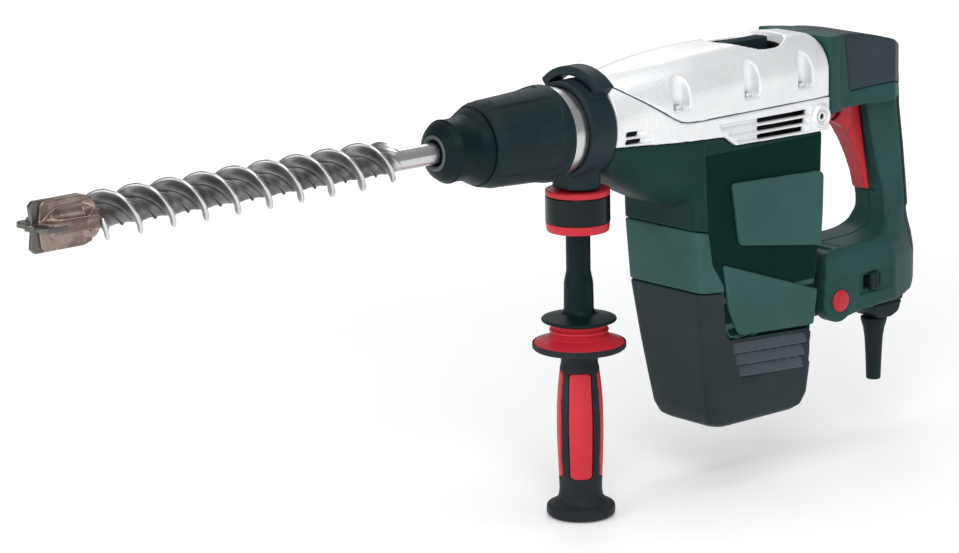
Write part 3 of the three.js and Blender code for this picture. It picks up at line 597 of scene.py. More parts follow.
def buildHead():
    h = headShape
    tip, rear, r = h["tip"], h["rear"], h["radius"]
    hub = spun("tool", [(tip + 12, 0), (tip + 14, 7), (tip + 24, h["hub"]), (rear, 15.5), (rear, 0)])
    wingSide = [(tip + 15, r - 0.6), (rear - 8, r - 0.4), (rear, 17), (rear, -17), (rear - 8, -r + 0.4),
                (tip + 15, -r + 0.6), (tip + 12, -r + 4), (tip + 10, 0), (tip + 12, r - 4)]
    wings = [turnedAbout(prism(wingSide, "y", -h["wing"] / 2, h["wing"] / 2), a) for a in (0, 90)]
    scallops = [turnedAbout(spun("tool", [(tip + 2, 0), (tip + 6, 6.5), (rear - 9, 7.5), (rear - 1, 0)], "x",
                                 (0, 17.5, 0), 40), a) for a in (45, 135, 225, 315)]
    steel = moulded(cut(joined(hub, *wings), *scallops), 0.55, 3, "cutter_head")
    piece(steel, "bit_head", "brazed", "bit", "brazed_steel", "cutter_head")
    plateSide = [(tip + 26, r), (tip + 7.5, r), (tip + 4, r - 3.5), (tip + 5.5, 4), (tip, 0), (tip + 5.5, -4),
                 (tip + 4, -r + 3.5), (tip + 7.5, -r), (tip + 26, -r)]
    plates = [turnedAbout(prism(plateSide, "y", -h["plate"] / 2, h["plate"] / 2), a) for a in (0, 90)]
    carbide = moulded(joined(*plates), 0.45, 2, "carbide_cross")
    piece(carbide, "carbide_cross", "carbide", "bit", "brazed_steel")


# Chuck

chuckShape = {  # profiles are (x, radius) pairs round the tool axis
    "cap": [(-133.4, 9.9), (-134.8, 11.2), (-137.4, 13.2), (-137.0, 15.8), (-134.2, 19.8), (-131.2, 23.4),
            (-127.2, 25.4), (-126.6, 26.4), (-125.4, 26.4), (-124.8, 25.6), (-113, 26.0), (-106, 27.6),
            (-97.6, 32.0), (-97.8, 20.3), (-126, 20.3), (-128, 10)],
    "lip": [(-136.0, 11.0), (-138.0, 12.4), (-138.2, 13.8), (-137.2, 15.0), (-136.0, 14.4)],
    "sleeve": [(-95.4, 27.6), (-95.4, 33.0), (-93.5, 34.0), (-88, 36.3), (-82, 37.8), (-80.5, 37.7), (-60, 38.7),
               (-36, 39.9), (-21, 41), (-17.2, 40.8), (-17.2, 38.3), (-41.9, 38.3), (-41.9, 33.1), (-88, 33.1),
               (-91, 27.6)],
    "neck": [(-28, 22.2), (-28, 36.4), (-22, 37.1), (-16, 37.6), (-11, 37.7), (-7, 37.5), (-4, 36.9), (-3, 36.4),
             (-2.8, 35.8), (0.2, 35.7), (29.8, 35.7), (29.8, 22.2), (26.4, 22.2), (26.4, 33), (5.6, 33),
             (5.6, 22.2)],
    "tongues": 6, "half": 13.0, "corner": 11.0, "end": -25.0, "depth": 1.15, "turn": 18,
    "skin": 33.5, "boreEnd": -42.5, "boreSkin": 38.6,  # anything wider than this is on the outside
}


# the six shallow tongues that run forward from the sleeve's rear
def tongued(along, radius, angle):
    c = chuckShape
    if radius < (c["boreSkin"] if along > c["boreEnd"] else c["skin"]):
        return radius
    pitch = 2 * math.pi / c["tongues"]
    local = (angle - math.radians(c["turn"]) + pitch / 2) % pitch - pitch / 2
    out = math.hypot(max(0, along - c["end"] + c["corner"]),
                     max(0, abs(local * radius) - c["half"] + c["corner"])) - c["corner"]
    share = min(1, max(0, 0.5 - out))
    return radius - c["depth"] * share * share * (3 - 2 * share)


def buildChuck():
    c = chuckShape
    cap = spun("dust_cap_skin", filleted(c["cap"], 1.0))
    piece(cap, "dust_cap_skin", "ebony", "spindle", "soft_black", "dust_cap")
    piece(spun("nose_ring", filleted(c["lip"], 0.5)), "nose_ring", "nose", "spindle", "soft_black")
    shell = spun("sleeve", divided(filleted(c["sleeve"], 0.9), 0.8), sides=320, shape=tongued)
    piece(sharpened(shell, 40), "sleeve_skin", "rubber", "sleeve", "soft_black", "locking_sleeve")
    neck = spun("neck_ring", filleted(c["neck"], 0.5, 3), sides=128)
    piece(neck, "neck_ring", "ring", "housing", "neck_metal", "front_neck")


# Side handle

sideShape = {  # profiles are (height, radius) pairs round the handle's own upright axis
    "x": 19.1, "windowTurn": 49.5, "stemRadius": 9.4, "coreRadius": 13.1, "bore": 13.4,
    "saddle": [(-50.9, 7.2), (-51.2, 13), (-52.6, 17), (-52.6, 22), (-51.6, 25.4), (-52.6, 27.4), (-57, 27.4),
               (-57, 7.2)],
    "collar": [(-57.3, 7.2), (-57.3, 27.0), (-58, 27.5), (-79.3, 27.5), (-80, 27.0), (-80, 7.2)],
    "collarRing": [(-80.3, 7.2), (-80.3, 27.2), (-87, 26.5), (-88, 25.6), (-88, 7.2)],
    "stem": [(-56, 0), (-56, 6.4), (-88.4, 6.4), (-88.4, 10.2), (-89.2, 10.4), (-122.5, 10.4), (-133, 12.5),
             (-156, 12.8), (-159.4, 15.2), (-163.4, 31.6), (-164.6, 32.2), (-166, 31.4), (-166.2, 9), (-330, 9),
             (-330, 0)],
    "guard": [(-166.5, 9.4), (-166.5, 22), (-168.0, 24.9), (-169.4, 24.9), (-171.2, 22.6), (-173.0, 25.3),
              (-174.6, 25.3), (-176.4, 22.9), (-178.2, 25.8), (-179.6, 27), (-182.0, 33), (-184.6, 38.6),
              (-187, 38.8), (-187, 9.4)],
    "rim": [(-190.6, 36), (-190.4, 38.2), (-188.8, 39.9), (-184.8, 39.9), (-184.4, 39.5), (-184.8, 39.1),
            (-187.3, 39.0), (-187.4, 36)],
    "grip": [(-201, 15.6), (-207, 16.8), (-213, 17.6), (-224, 18.8), (-240, 19.8), (-259, 20.1), (-276, 19.8),
             (-290, 19.2), (-307.5, 18.4), (-314, 18.2), (-320, 19.2), (-324, 22.6)],
    "gripStart": [(-187.5, 0), (-187.5, 38.4), (-190.4, 37.8), (-191.8, 18.4), (-194, 16.6)],
    "gripEnd": [(-326.6, 28.6), (-328.4, 29.4), (-334.5, 29.4), (-337, 26.6), (-337, 0)],
    "window": [(-9.6, -302), (9.6, -302), (10.6, -255), (9.4, -209), (-9.4, -209), (-10.6, -255)],
    "padFrom": -302, "padTo": -207,
}
clampShape = {"from": 0.6, "to": 28.6, "inner": 36.4, "outer": 40.6, "lugRadius": 21, "lugBottom": -50.4,
              "hoodFrom": 12.4, "hoodRadius": 52.3, "browFrom": 11, "browRadius": 50.4, "hoodFoot": 38.6, "half": 44,
              "slot": (41.4, 44.6, 37), "eye": 7}


def arch(inner, outer, half, low, high):
    line = [math.radians(a) for a in spread(-half, half, 30)]
    return prism([(outer * math.sin(a), outer * math.cos(a)) for a in line]
                 + [(inner * math.sin(a), inner * math.cos(a)) for a in reversed(line)], "x", low, high)


def buildClamp():
    c = clampShape
    start, end, outer = c["from"], c["to"], c["outer"]
    ring = spun("tool", filleted([(start, c["inner"]), (start, outer - 0.8), (start + 1.4, outer), (end - 1.4, outer),
                                  (end, outer - 0.8), (end, c["inner"])], 0.8), sides=128)
    lug = cut(hungRod(c["lugRadius"], c["lugBottom"], -30, 72), rod("x", c["inner"] + 0.2, -10, 60, sides=128))
    common(lug, block(start, end, -40, 40, -70, 0))
    hood = arch(c["hoodFoot"], c["hoodRadius"], c["half"], c["hoodFrom"], end)
    brow = arch(c["hoodFoot"], c["browRadius"], c["half"] - 1, c["browFrom"], 14)
    split = block(0, 5, -8.6, -7.6, -60, -38)
    band = cut(joined(ring, lug, hood, brow), arch(*c["slot"], -10, 50), split, hungRod(c["eye"], -60, -30, 48))
    piece(moulded(band, 0.8, 3, "clamp"), "clamp_skin", "black", "side_clamp", "black", "clamp_band")


def hungRod(r, low, high, sides=96):
    return rod("z", r, low, high, (sideShape["x"], 0, 0), sides)


def hung(name, profile, fillet, material, body, slot, *nodes):
    obj = spun(name, filleted(profile, fillet), "z", (sideShape["x"], 0, 0), 112)
    return piece(obj, name, material, body, slot, *nodes)


def gripWindows(widen, lengthen):
    centre = toolOrigin + Vector((sideShape["x"], 0, 0)) * 0.001
    outline = filleted(sideShape["window"], 4, 6)
    place = [(sideShape["x"] + u * widen, z + (lengthen if z < -255 else -lengthen)) for u, z in outline]
    return [turnedAbout(prism(place, "y", -32, 32), a + sideShape["windowTurn"], "Z", centre) for a in (0, 90)]


def buildSideHandle():
    h = sideShape
    hung("saddle_skin", h["saddle"], 0.8, "red", "side_clamp", "red", "clamp_saddle")
    hung("collar_skin", h["collar"], 0.5, "gloss", "side_clamp", "black", "clamp_collar")
    hung("collar_ring_skin", h["collarRing"], 0.6, "red", "side_clamp", "red", "collar_ring")
    hung("stem_skin", h["stem"], 1.2, "ebony", "side_grip", "black", "handle_stem")
    hung("guard_skin", h["guard"], 0.7, "red", "side_grip", "red", "hand_guard")
    hung("guard_rim", h["rim"], 0.4, "grip", "side_grip", "soft_black")
    profile = filleted([*h["gripStart"], *h["grip"], *h["gripEnd"]], 1.0, closed=False, skip=(0,))
    cover = spun("grip", profile, "z", (h["x"], 0, 0), 128)
    cut(cover, hungRod(h["bore"], -331, -185), *gripWindows(1, 0))
    piece(moulded(cover, 1.0, 2, "grip"), "grip_skin", "grip", "side_grip", "soft_black", "grip_cover")
    inside = [(z, r - 0.1) for z, r in h["grip"] if h["padFrom"] <= z <= h["padTo"]]
    pillow = spun("tool", [(-205, 0), (-205, 16.4), *inside, (-304, 18.5), (-304, 0)], "z", (h["x"], 0, 0))
    thin, thick = h["stemRadius"], h["coreRadius"]
    tube = spun("tool", [(-187.7, thin), (-187.7, thick), (-330.6, thick), (-330.6, thin)], "z", (h["x"], 0, 0))
    pads = joined(*gripWindows(0.96, 0.35))
    core = cut(joined(tube, common(pillow, pads)), hungRod(h["stemRadius"], -340, -180))
    piece(moulded(core, 0.9, 2, "core"), "grip_core_skin", "red", "side_grip", "red", "grip_core")


# Casings

# x, half width, top, bottom, lower and upper corner radius
upperStations = [(30.3, 38.5, 39.5, -38.5, 37.5, 37.5), (40, 39.8, 42, -40.5, 37.5, 38), (57, 42, 45, -42, 36, 38),
                 (97, 46.5, 48.6, -44, 20, 34), (140, 47, 52, -44, 12, 33), (236, 47, 53, -44, 12, 33),
                 (274, 46, 50.6, -44, 12, 32)]
# x, half width, bottom
bellyStations = [(30.3, 38, -39.5), (40, 38.9, -43.5), (48, 41, -49), (57, 43, -56), (78, 45.5, -68),
                 (126, 46.5, -88)]
# z, front, rear, half width, corner radius
motorStations = [(-12, 110, 272, 47, 7), (-101, 113.5, 269, 47.2, 7), (-151, 118, 266, 46.8, 7),
                 (-205, 126, 262, 43.4, 8), (-240, 132, 261, 41, 9), (-266, 137.5, 258, 39.4, 9),
                 (-276, 142, 254, 37.5, 11), (-280, 148, 248, 33.5, 13)]
# lines seen from the side, (x, z), where one casing ends and the next begins
silverEdge = [(20, -13.5), (32, -15), (146, -20.5), (159, -29.5), (279, -32)]
coverEdge = [(6, 51), (30, 39.5), (49, 27), (72, 13), (90, 2.4), (97, -0.8), (106, -2.6), (118, -2.9), (279, -2)]
capEdge = [(100, -152), (145, -156), (151, -194), (156, -200), (252, -206), (255.5, -209), (256, -238),
           (275, -239)]
jointEdge = [(0, -97), (116, -98.5), (140, -103.5), (176, -108), (300, -122)]
sideField = [(123, -20), (280, -30), (280, -238), (254, -238), (253, -207), (157, -199), (150, -190), (145, -150),
             (132, -131), (126, -100)]
namePanel = [(155, -62), (263.5, -66), (275, -80), (275, -134.5), (164, -117.5)]
lowPanel = [(144.5, -131.5), (275, -177), (275, -205), (166, -198), (152, -172)]


def between(stations, places):
    result = []
    for p in places:
        k = max(i for i in range(len(stations) - 1) if stations[i][0] <= p or i == 0)
        if stations[0][0] > stations[-1][0]:
            k = max(i for i in range(len(stations) - 1) if stations[i][0] >= p or i == 0)
        a, b = stations[k], stations[k + 1]
        before = stations[max(k - 1, 0)]
        after = stations[min(k + 2, len(stations) - 1)]
        span = b[0] - a[0]
        t = (p - a[0]) / span
        values = [p]
        for j in range(1, len(a)):
            slopeA = (b[j] - before[j]) / ((b[0] - before[0]) or 1) * span
            slopeB = (after[j] - a[j]) / ((after[0] - a[0]) or 1) * span
            h00, h10 = 2 * t ** 3 - 3 * t ** 2 + 1, t ** 3 - 2 * t ** 2 + t
            h01, h11 = -2 * t ** 3 + 3 * t ** 2, t ** 3 - t ** 2
            values.append(h00 * a[j] + h10 * slopeA + h01 * b[j] + h11 * slopeB)
        result.append(tuple(values))
    return result


def roundedRing(u0, u1, v0, v1, rLow, rHigh, steps=10):
    ring = []
    for u, v, r, q in ((u1 - rHigh, v1 - rHigh, rHigh, 0), (u0 + rHigh, v1 - rHigh, rHigh, 1),
                       (u0 + rLow, v0 + rLow, rLow, 2), (u1 - rLow, v0 + rLow, rLow, 3)):
        for i in range(steps + 1):
            a = math.pi / 2 * (q + i / steps)
            ring.append((u + r * math.cos(a), v + r * math.sin(a)))
    return ring


def spread(low, high, count):
    return [low + (high - low) * i / count for i in range(count + 1)]


def upperBody(inset):
    rings = []
    stations = between(upperStations, spread(upperStations[0][0], upperStations[-1][0], 48))
    for k, (x, w, top, bottom, rLow, rHigh) in enumerate(stations):
        shift = inset if k == 0 else (-inset if k == len(stations) - 1 else 0)
        ring = roundedRing(-w + inset, w - inset, bottom + inset, top - inset, rLow - inset, rHigh - inset)
        rings.append([(x + shift, y, z) for y, z in ring])
    return loft(rings)


def belly(inset):
    rings = []
    stations = between(bellyStations, spread(bellyStations[0][0], bellyStations[-1][0], 24))
    for k, (x, w, bottom) in enumerate(stations):
        ring = roundedRing(-w + inset, w - inset, bottom + inset, -2 - inset, 34 - inset, 3)
        rings.append([(x + (inset if k == 0 else 0), y, z) for y, z in ring])
    return loft(rings)


def motorBody(inset):
    rings = []
    for k, (z, front, rear, w, r) in enumerate(motorStations):
        corner = max(2, r - inset)
        ring = roundedRing(front + inset, rear - inset, -w + inset, w - inset, corner, corner)
        lift = inset + 0.5 if k == len(motorStations) - 1 and inset > 0 else 0  # keeps a floor under the hollow
        rings.append([(x, y, z + lift) for x, y in ring])
    return loft(rings)


def halfWidthAt(z):
    for a, b in zip(motorStations, motorStations[1:]):
        if b[0] <= z <= a[0]:
            return a[3] + (b[3] - a[3]) * (z - a[0]) / (b[0] - a[0])
    return motorStations[-1][3]


def moved(points, d):
    return [(x + d, z + d) for x, z in points]


def above(edge, d):
    return prism([*moved(edge, d), (edge[-1][0] + d, 90), (edge[0][0] + d, 90)], "y", -70, 70)


def below(edge, d):
    return prism([(edge[0][0] + d, -320), (edge[-1][0] + d, -320), *reversed(moved(edge, d))], "y", -70, 70)


pivotPlace = (299, 0, -191)  # of the rear handle on the motor housing
casing = {"wall": 3.2, "seam": 0.35, "screws": (97, 179, 244), "screwBase": 10, "pocket": 3.0, "voxel": 1.25,
          "knobX": 213, "knobR": 31, "grilleZ": (-11.5, -18.5, -25.5), "eye": (262.5, 0, -18),
          # outline of a near-black plate behind the vent and grille slots so they read black: painted shade
          "shadePlateOutline": [(38.5, 0), (120, -4), (184, -6), (252, -5), (252, -30), (160, -28), (120, -18), (38.5, -15)],
          "vents": ((-2.2, -6.8, 53, 60), (-8.8, -13.4, 56, 67))}  # top, bottom, black as far as, floor as far as


def bothSides(make):
    return [make(s) for s in (-1, 1)]


def buildTopCover():
    c = casing
    outer = upperBody(0)
    shell = cut(copied(outer), upperBody(c["wall"]))
    spots = [(x, s * 43) for x in c["screws"] for s in (-1, 1)]
    pillars = joined(*[rod("z", 12.5, -8, 47, (x, y, 0)) for x, y in spots])
    dish = rod("z", c["knobR"] + 5.5, 29, 60, (c["knobX"], 0, 0), 96)
    blank = joined(shell, common(pillars, copied(outer)), common(dish, copied(outer)))
    common(blank, above(coverEdge, c["seam"]))
    scoop = [(c["screwBase"], 0), (c["screwBase"], 9.2), (24, 9.2), (34, 7.2), (43, 3.6), (47, 0)]
    scoops = [spun("tool", scoop, "z", (x, y, 0), 48) for x, y in spots]
    well = spun("tool", [(33, 0), (33, 31.3), (44, 32.6), (52, 36), (60, 42), (60, 0)], "z", (c["knobX"], 0, 0), 96)
    bpy.data.objects.remove(outer)
    cut(blank, *scoops, well)
    piece(moulded(blank, c["voxel"], 4, "cover"), "top_cover_skin", "silver", "housing", "silver", "top_cover")


def buildFrontHousing():
    c = casing
    outer = joined(upperBody(0), motorBody(0))
    band = cut(copied(outer), upperBody(c["wall"] + 2), motorBody(c["wall"] + 2))
    front = common(block(30.3, 37, -60, 60, -60, 60), copied(outer))
    joined(band, front)
    common(band, below(coverEdge, -c["seam"]), above(silverEdge, c["seam"]))
    boss = [(40, 0), (40, 10), (48.6, 10), (49.9, 9.2), (49.9, 7.6), (48.8, 6.9), (46.4, 6.7), (46.4, 0)]
    bosses = bothSides(lambda s: spun("tool", [(s * y, r) for y, r in boss], "y", c["eye"], 64))
    joined(band, *bosses)
    slots = []
    for k, z in enumerate(c["grilleZ"]):  # a shallow groove that opens right through towards the rear
        lean = 10 * k
        groove = [(139 + lean, z + 2.5), (144 + lean, z - 2.3), (250 - 2 * k, z - 2.9), (250 - 2 * k, z + 1.9)]
        through = [(187, z + 2.1), (187, z - 2.3), (246 - 2 * k, z - 2.9), (246 - 2 * k, z + 1.7)]
        slots += bothSides(lambda s: prism(groove, "y", *sorted((s * 44.6, s * 60))))
        slots.append(prism(through, "y", -60, 60))
    for top, low, deep, far in c["vents"]:
        slots.append(block(39, deep, -60, 60, low, top))
        slots += bothSides(lambda s: prism([(deep - 1, s * 36), (far, s * 43.5), (deep - 1, s * 50)], "z", low, top))
    eye = rod("y", 4.2, -60, 60, c["eye"])
    cut(band, *slots, eye, rod("x", 30, 20, 60, sides=96))
    bpy.data.objects.remove(outer)
    piece(moulded(band, 0.9, 2, "front"), "front_housing_skin", "silver", "housing", "silver", "front_housing")
    for s, name in ((-1, "left"), (1, "right")):
        # a near-black disc set inside each eye hole: painted shade
        well = rod("y", 6.5, *sorted((s * 45, s * 46.9)), c["eye"], 96)
        piece(well, f"eye_hole_shade_{name}", "dark", "housing", "black")
        eyelet = [(46, 2.6), (46, 4.6), (48.4, 4.6), (48.8, 4.2), (48.8, 3.0), (48.4, 2.6)]
        piece(spun("tool", [(s * y, r) for y, r in eyelet], "y", c["eye"], 48), f"eyelet_{name}", "silver",
              "housing", "silver")
        # a near-black plate behind the vent and grille slots: painted shade
        plate = prism(c["shadePlateOutline"], "y", *sorted((s * 33, s * 35)))
        piece(plate, f"vent_shade_plate_{name}", "dark", "housing", "black")


def buildGearHousing():
    c = casing
    ledge = common(upperBody(0), block(20, 280, -60, 60, -36, 60))
    outer = joined(ledge, belly(0.8), motorBody(0))
    shell = cut(outer, upperBody(c["wall"] + 4), belly(c["wall"] + 4), motorBody(c["wall"] + 4))
    face = common(block(30.3, 38, -60, 60, -80, 0), joined(upperBody(0), belly(0.8)))
    joined(shell, face)
    common(shell, below(silverEdge, -c["seam"]), above(jointEdge, c["seam"]))
    cut(shell, rod("x", 30, 20, 60, sides=96), rod("z", 28.2, -90, -49, (sideShape["x"], 0, 0), 64))
    notches = []
    for x in (64, 84, 100):
        notches += bothSides(lambda s, x=x: block(x, x + 3, *sorted((s * 41, s * 60)), -37, -34.2))
    cut(shell, *notches, sidePocket())
    # the gear housing takes the darker deep green: painted shade on its downward-facing belly
    piece(moulded(shell, c["voxel"], 3, "gear"), "gear_housing_skin", "deep", "housing", "green", "gear_housing")


def sidePocket():
    return cut(prism(sideField, "y", -60, 60), motorBody(casing["pocket"]))


def buildSidePanels():
    c = casing
    field = common(prism(sideField, "y", -60, 60), motorBody(c["pocket"] - 0.35))
    cut(field, motorBody(c["pocket"] + 1.2))
    common(field, above(capEdge, 0.2), block(100, 279, -60, 60, -300, -33))
    # the recessed side fields take the darker field green: painted shade where the recess falls in shadow
    piece(moulded(field, 1.5, 1, "field"), "side_fields", "field", "housing", "green")
    pads = []
    for outline in (namePanel, lowPanel):
        pad = common(prism(filleted(outline, 5, 5), "y", -60, 60), motorBody(-0.3))
        cut(pad, motorBody(c["pocket"] + 0.6))
        pads.append(common(pad, block(100, 268, -70, 70, -320, 60), above(capEdge, c["seam"])))
    # the raised panels take the lighter panel green: partly painted light, partly their coarser texture
    piece(moulded(joined(*pads), 1.15, 2, "panels"), "side_panels", "panel", "housing", "green")


def buildMotorHousing():
    c = casing
    shell = cut(motorBody(0), motorBody(c["wall"] + 4))
    common(shell, above(capEdge, c["seam"]), below(jointEdge, -c["seam"]))
    cut(shell, sidePocket())
    lugSide = [(250, -175), (297, -177)]
    lugSide += [(pivotPlace[0] + 14 * math.sin(a), pivotPlace[2] + 14 * math.cos(a)) for a in spread(0, math.pi, 16)]
    lugSide += [(250, -207)]
    joined(shell, cut(prism(lugSide, "y", -21, 21), motorBody(c["wall"] + 4)))
    cut(shell, rod("y", 5.4, -60, 60, pivotPlace), block(100, 119.4, -0.7, 0.7, -152, -96))
    # the motor housing takes the lighter panel green: painted light on its lit front
    piece(moulded(shell, c["voxel"], 3, "motor"), "motor_housing_skin", "panel", "housing", "green", "motor_housing")


capShape = {"louvres": 3, "top": -203.5, "pitch": 11.2, "proud": 2.6, "lean": 4.2, "droop": 5.5,
            "field": [(158, -202), (250, -208), (247, -239), (171, -237)]}


def buildBaseCap():
    c = casing
    shell = cut(motorBody(0), motorBody(c["wall"] + 3))
    common(shell, below(capEdge, -c["seam"]))
    k = capShape
    cut(shell, cut(prism(filleted(k["field"], 2), "y", -60, 60), motorBody(k["proud"])))
    piece(moulded(shell, c["voxel"], 3, "cap"), "base_cap_skin", "cap", "housing", "black", "base_cap")
    steps = []
    for i in range(k["louvres"]):
        high = k["top"] - k["pitch"] * i
        low = high - k["pitch"] + 1.0
        x0, x1 = 157.5 + k["lean"] * i, 250 - 1.2 * i
        for s in (-1, 1):
            deep, flush = halfWidthAt(high) - k["proud"] - 1.5, halfWidthAt(low) + 0.1
            section = [(s * (deep - 2), high), (s * (deep + 1.3), high - 0.4), (s * flush, low + 1.4),
                       (s * (flush - 0.6), low), (s * (deep - 2), low)]
            rings = [[(x, y, z + (-k["droop"] if x == x1 else 0)) for y, z in section] for x in (x0, x1)]
            steps.append(loft(rings))
    louvres = joined(*steps)
    piece(moulded(louvres, 0.7, 2, "louvres"), "louvres", "louvre", "housing", "black")


def buildScrews():
    c = casing
    tree, start, end, ids = nodeTree("screws", {"Head radius": ("NodeSocketFloat", 0.0044),
                                                "Head height": ("NodeSocketFloat", 0.0032)})
    points = linked("spots", bpy.data.meshes.new("spots"))
    points.data.from_pydata([toolOrigin + Vector((x, s * 40, c["screwBase"] + 1.9)) * 0.001
                             for x in c["screws"] for s in (-1, 1)], [], [])
    head = treeNode(tree, "GeometryNodeMeshCylinder", None, Vertices=40, Side_Segments=3,
                    Radius=start.outputs["Head radius"], Depth=start.outputs["Head height"])
    socket = treeNode(tree, "GeometryNodeMeshCylinder", None, Vertices=6, Radius=0.0021, Depth=0.004)
    lifted = treeNode(tree, "GeometryNodeTransform", None, Geometry=socket.outputs[0],
                      Translation=(0, 0, 0.0022))
    hollow = treeNode(tree, "GeometryNodeMeshBoolean", {"operation": "DIFFERENCE", "solver": "EXACT"},
                      n0=head.outputs[0], n1=lifted.outputs[0])
    cloud = treeNode(tree, "GeometryNodeMeshToPoints", None, Mesh=start.outputs["Geometry"])
    copies = treeNode(tree, "GeometryNodeInstanceOnPoints", None, Points=cloud.outputs[0],
                      Instance=hollow.outputs[0])
    finishTree(tree, end, copies.outputs[0], "screw")
    mod = points.modifiers.new("nodes", "NODES")
    mod.node_group = tree
    mod[ids["Head radius"]] = 0.0044
    mod[ids["Head height"]] = 0.0032
    settled(points)
    names = [f"cover_screw_{side}_{i}" for side in ("left", "right") for i in (1, 2, 3)]
    sharpened(piece(points, "cover_screws", "screw", "housing", "steel", *names))


def buildKnob():
    c = casing
    disc = spun("tool", [(24, 0), (24, 6), (33.4, 6), (33.4, 29.6), (34.4, 30), (37.2, 30), (38, 29), (38, 0)],
                "z", (c["knobX"], 0, 0), 96)
    bar = prism(filleted([(c["knobX"] - 27, -6.5), (c["knobX"] + 27, -6.5), (c["knobX"] + 27, 6.5),
                          (c["knobX"] - 27, 6.5)], 6, 8), "z", 37, 50.6)
    body = moulded(joined(disc, bar), 0.8, 3, "knob")
    piece(body, "knob_skin", "black", "knob", "black", "selector_knob")
    tree, start, end, ids = nodeTree("grip_ribs", {"Count": ("NodeSocketInt", 13),
                                                   "Length": ("NodeSocketFloat", 0.042)})
    line = treeNode(tree, "GeometryNodeMeshLine", {"mode": "END_POINTS"}, Count=start.outputs["Count"])
    reach = Value(tree, start.outputs["Length"]) * 0.5
    centre = toolOrigin + Vector((c["knobX"], 0, 50.6)) * 0.001
    tree.links.new(xyzOf(tree, centre.x - reach, 0.0, centre.z), line.inputs["Start Location"])
    tree.links.new(xyzOf(tree, centre.x + reach, 0.0, centre.z), line.inputs["Offset"])
    bead = treeNode(tree, "GeometryNodeMeshCylinder", None, Vertices=12, Radius=0.0009, Depth=0.011)
    laid = treeNode(tree, "GeometryNodeTransform", None, Geometry=bead.outputs[0],
                    Rotation=(math.pi / 2, 0, 0))
    copies = treeNode(tree, "GeometryNodeInstanceOnPoints", None, Points=line.outputs[0], Instance=laid.outputs[0])
    finishTree(tree, end, copies.outputs[0], "black")
    ribs = grown(tree, ids, {"Count": 13, "Length": 0.042}, "knob_ribs")
    piece(ribs, "knob_ribs", "black", "knob", "black")
    bezel = spun("bezel", filleted([(33.2, 30.6), (33.2, 31.1), (43.5, 32.4), (44.6, 33.2), (45.2, 32.6),
                                    (44.2, 31.2)], 0.2), "z", (c["knobX"], 0, 0), 96)
    piece(bezel, "knob_bezel", "dark", "housing", "black")


# Rear handle

handleOuter = [(276, 49.5), (302, 48), (322, 46), (347, 41.5), (373, 34.5), (393, 26), (403, 18), (409, 7),
               (409.5, -4), (404, -13), (405, -30), (410.5, -67), (415, -105), (418.5, -138), (421.5, -155),
               (429, -171), (430, -186), (426, -195), (414, -203), (330, -205), (312, -208), (280, -210)]
fingerSpace = [(270, -19), (350, -19), (356, -50), (364, -78), (372, -104), (375, -120), (372, -134), (364, -141),
               (350, -144), (298, -145), (286, -147), (282, -152), (282, -174), (270, -174)]
armPlan = [(276, -45), (290, -43), (303, -34), (372, -32.5), (388, -21.5), (398, -12), (404, -4)]
gripPlans = [(z, [(335, -18.6), (x, -18.5), (x + 9, -15.5), (x + 15, -9), (x + 18, -1)])
             for z, x in ((0, 386), (-30, 387), (-67, 392.5), (-105, 397), (-124, 399))]
footPlans = [(-122, [(276, -20), (330, -19), (362, -18.5), (384, -18.5), (399, -16.5), (410, -11), (417, -2)]),
             (-137, [(276, -29), (330, -27), (366, -25), (388, -20.5), (402, -17), (413, -11), (420, -2)]),
             (-151, [(276, -34.5), (330, -32.5), (370, -30.5), (392, -23), (406, -17.5), (418, -11), (426, -2)]),
             (-165, [(276, -36), (330, -34.5), (374, -33), (396, -24), (410, -17.5), (422, -10), (430, -2)]),
             (-215, [(276, -36), (330, -34.5), (374, -33), (396, -24), (410, -17.5), (422, -10), (430, -2)])]
capLine = [(304, 60), (313, -4), (371, -3), (404, -13), (430, -13), (430, 60)]
padLine = [(390, -13.5), (391, -30), (396.5, -67), (401, -105), (404.5, -135), (410, -155), (420, -171),
           (421, -196)]
rearShape = {
    "voxel": 1.3, "seam": 0.35, "hubRadius": 19.8, "pinHole": 5.4, "ringGroove": (10.6, 11.6), "ribs": 5,
    "boss": [(22.3, 0), (22.3, 19.6), (35.2, 19.6), (36, 18.8), (36, 0)],
    "triggerSlot": [(315, -15.5), (362, -15.5), (368, -60), (375, -107), (342, -107), (336, -75), (325, -50)],
    "sliderRecess": [(326, -191), (371, -190), (371, -171), (326, -172)],
}


def mirrored(line):
    return [*line, *[(x, -y) for x, y in reversed(line)]]


def column(plans):
    return loft([[(x, y, z) for x, y in mirrored(plan)] for z, plan in plans])


def handleSolid():
    r = rearShape
    loop = cut(prism(filleted(handleOuter, 7, 5, skip=(0, 21)), "y", -50, 50),
               prism(filleted(fingerSpace, 7, 5), "y", -51, 51))
    wide = joined(prism(mirrored(armPlan), "z", -20, 60), column(gripPlans), column(footPlans))
    front = joined(block(299, 440, -60, 60, -215, 60), block(270, 440, -60, 60, -21, 60),
                   block(280, 310, -60, 60, -179, -130), rod("y", r["hubRadius"], -60, 60, pivotPlace, 72))
    whole = common(loop, wide, front)
    fork = joined(block(270, 315.5, -22, 22, -215, -164), rod("y", 16, -22, 22, (303, 0, -191)))
    cut(whole, fork)
    return moulded(whole, r["voxel"], 7, "handle")


def buildRearHandle():
    r = rearShape
    whole = handleSolid()
    bosses = bothSides(lambda s: spun("tool", [(s * y, radius) for y, radius in r["boss"]], "y", pivotPlace, 72))
    inner, outer = r["ringGroove"]
    grooves = bothSides(lambda s: cut(rod("y", outer, *sorted((s * 35.0, s * 40)), pivotPlace),
                                      rod("y", inner, -60, 60, pivotPlace)))
    cut(joined(whole, *bosses), *grooves, rod("y", r["pinHole"], -60, 60, pivotPlace))
    buildRearCap(copied(whole))
    buildGripPad(copied(whole))
    buildHandleShells(whole)


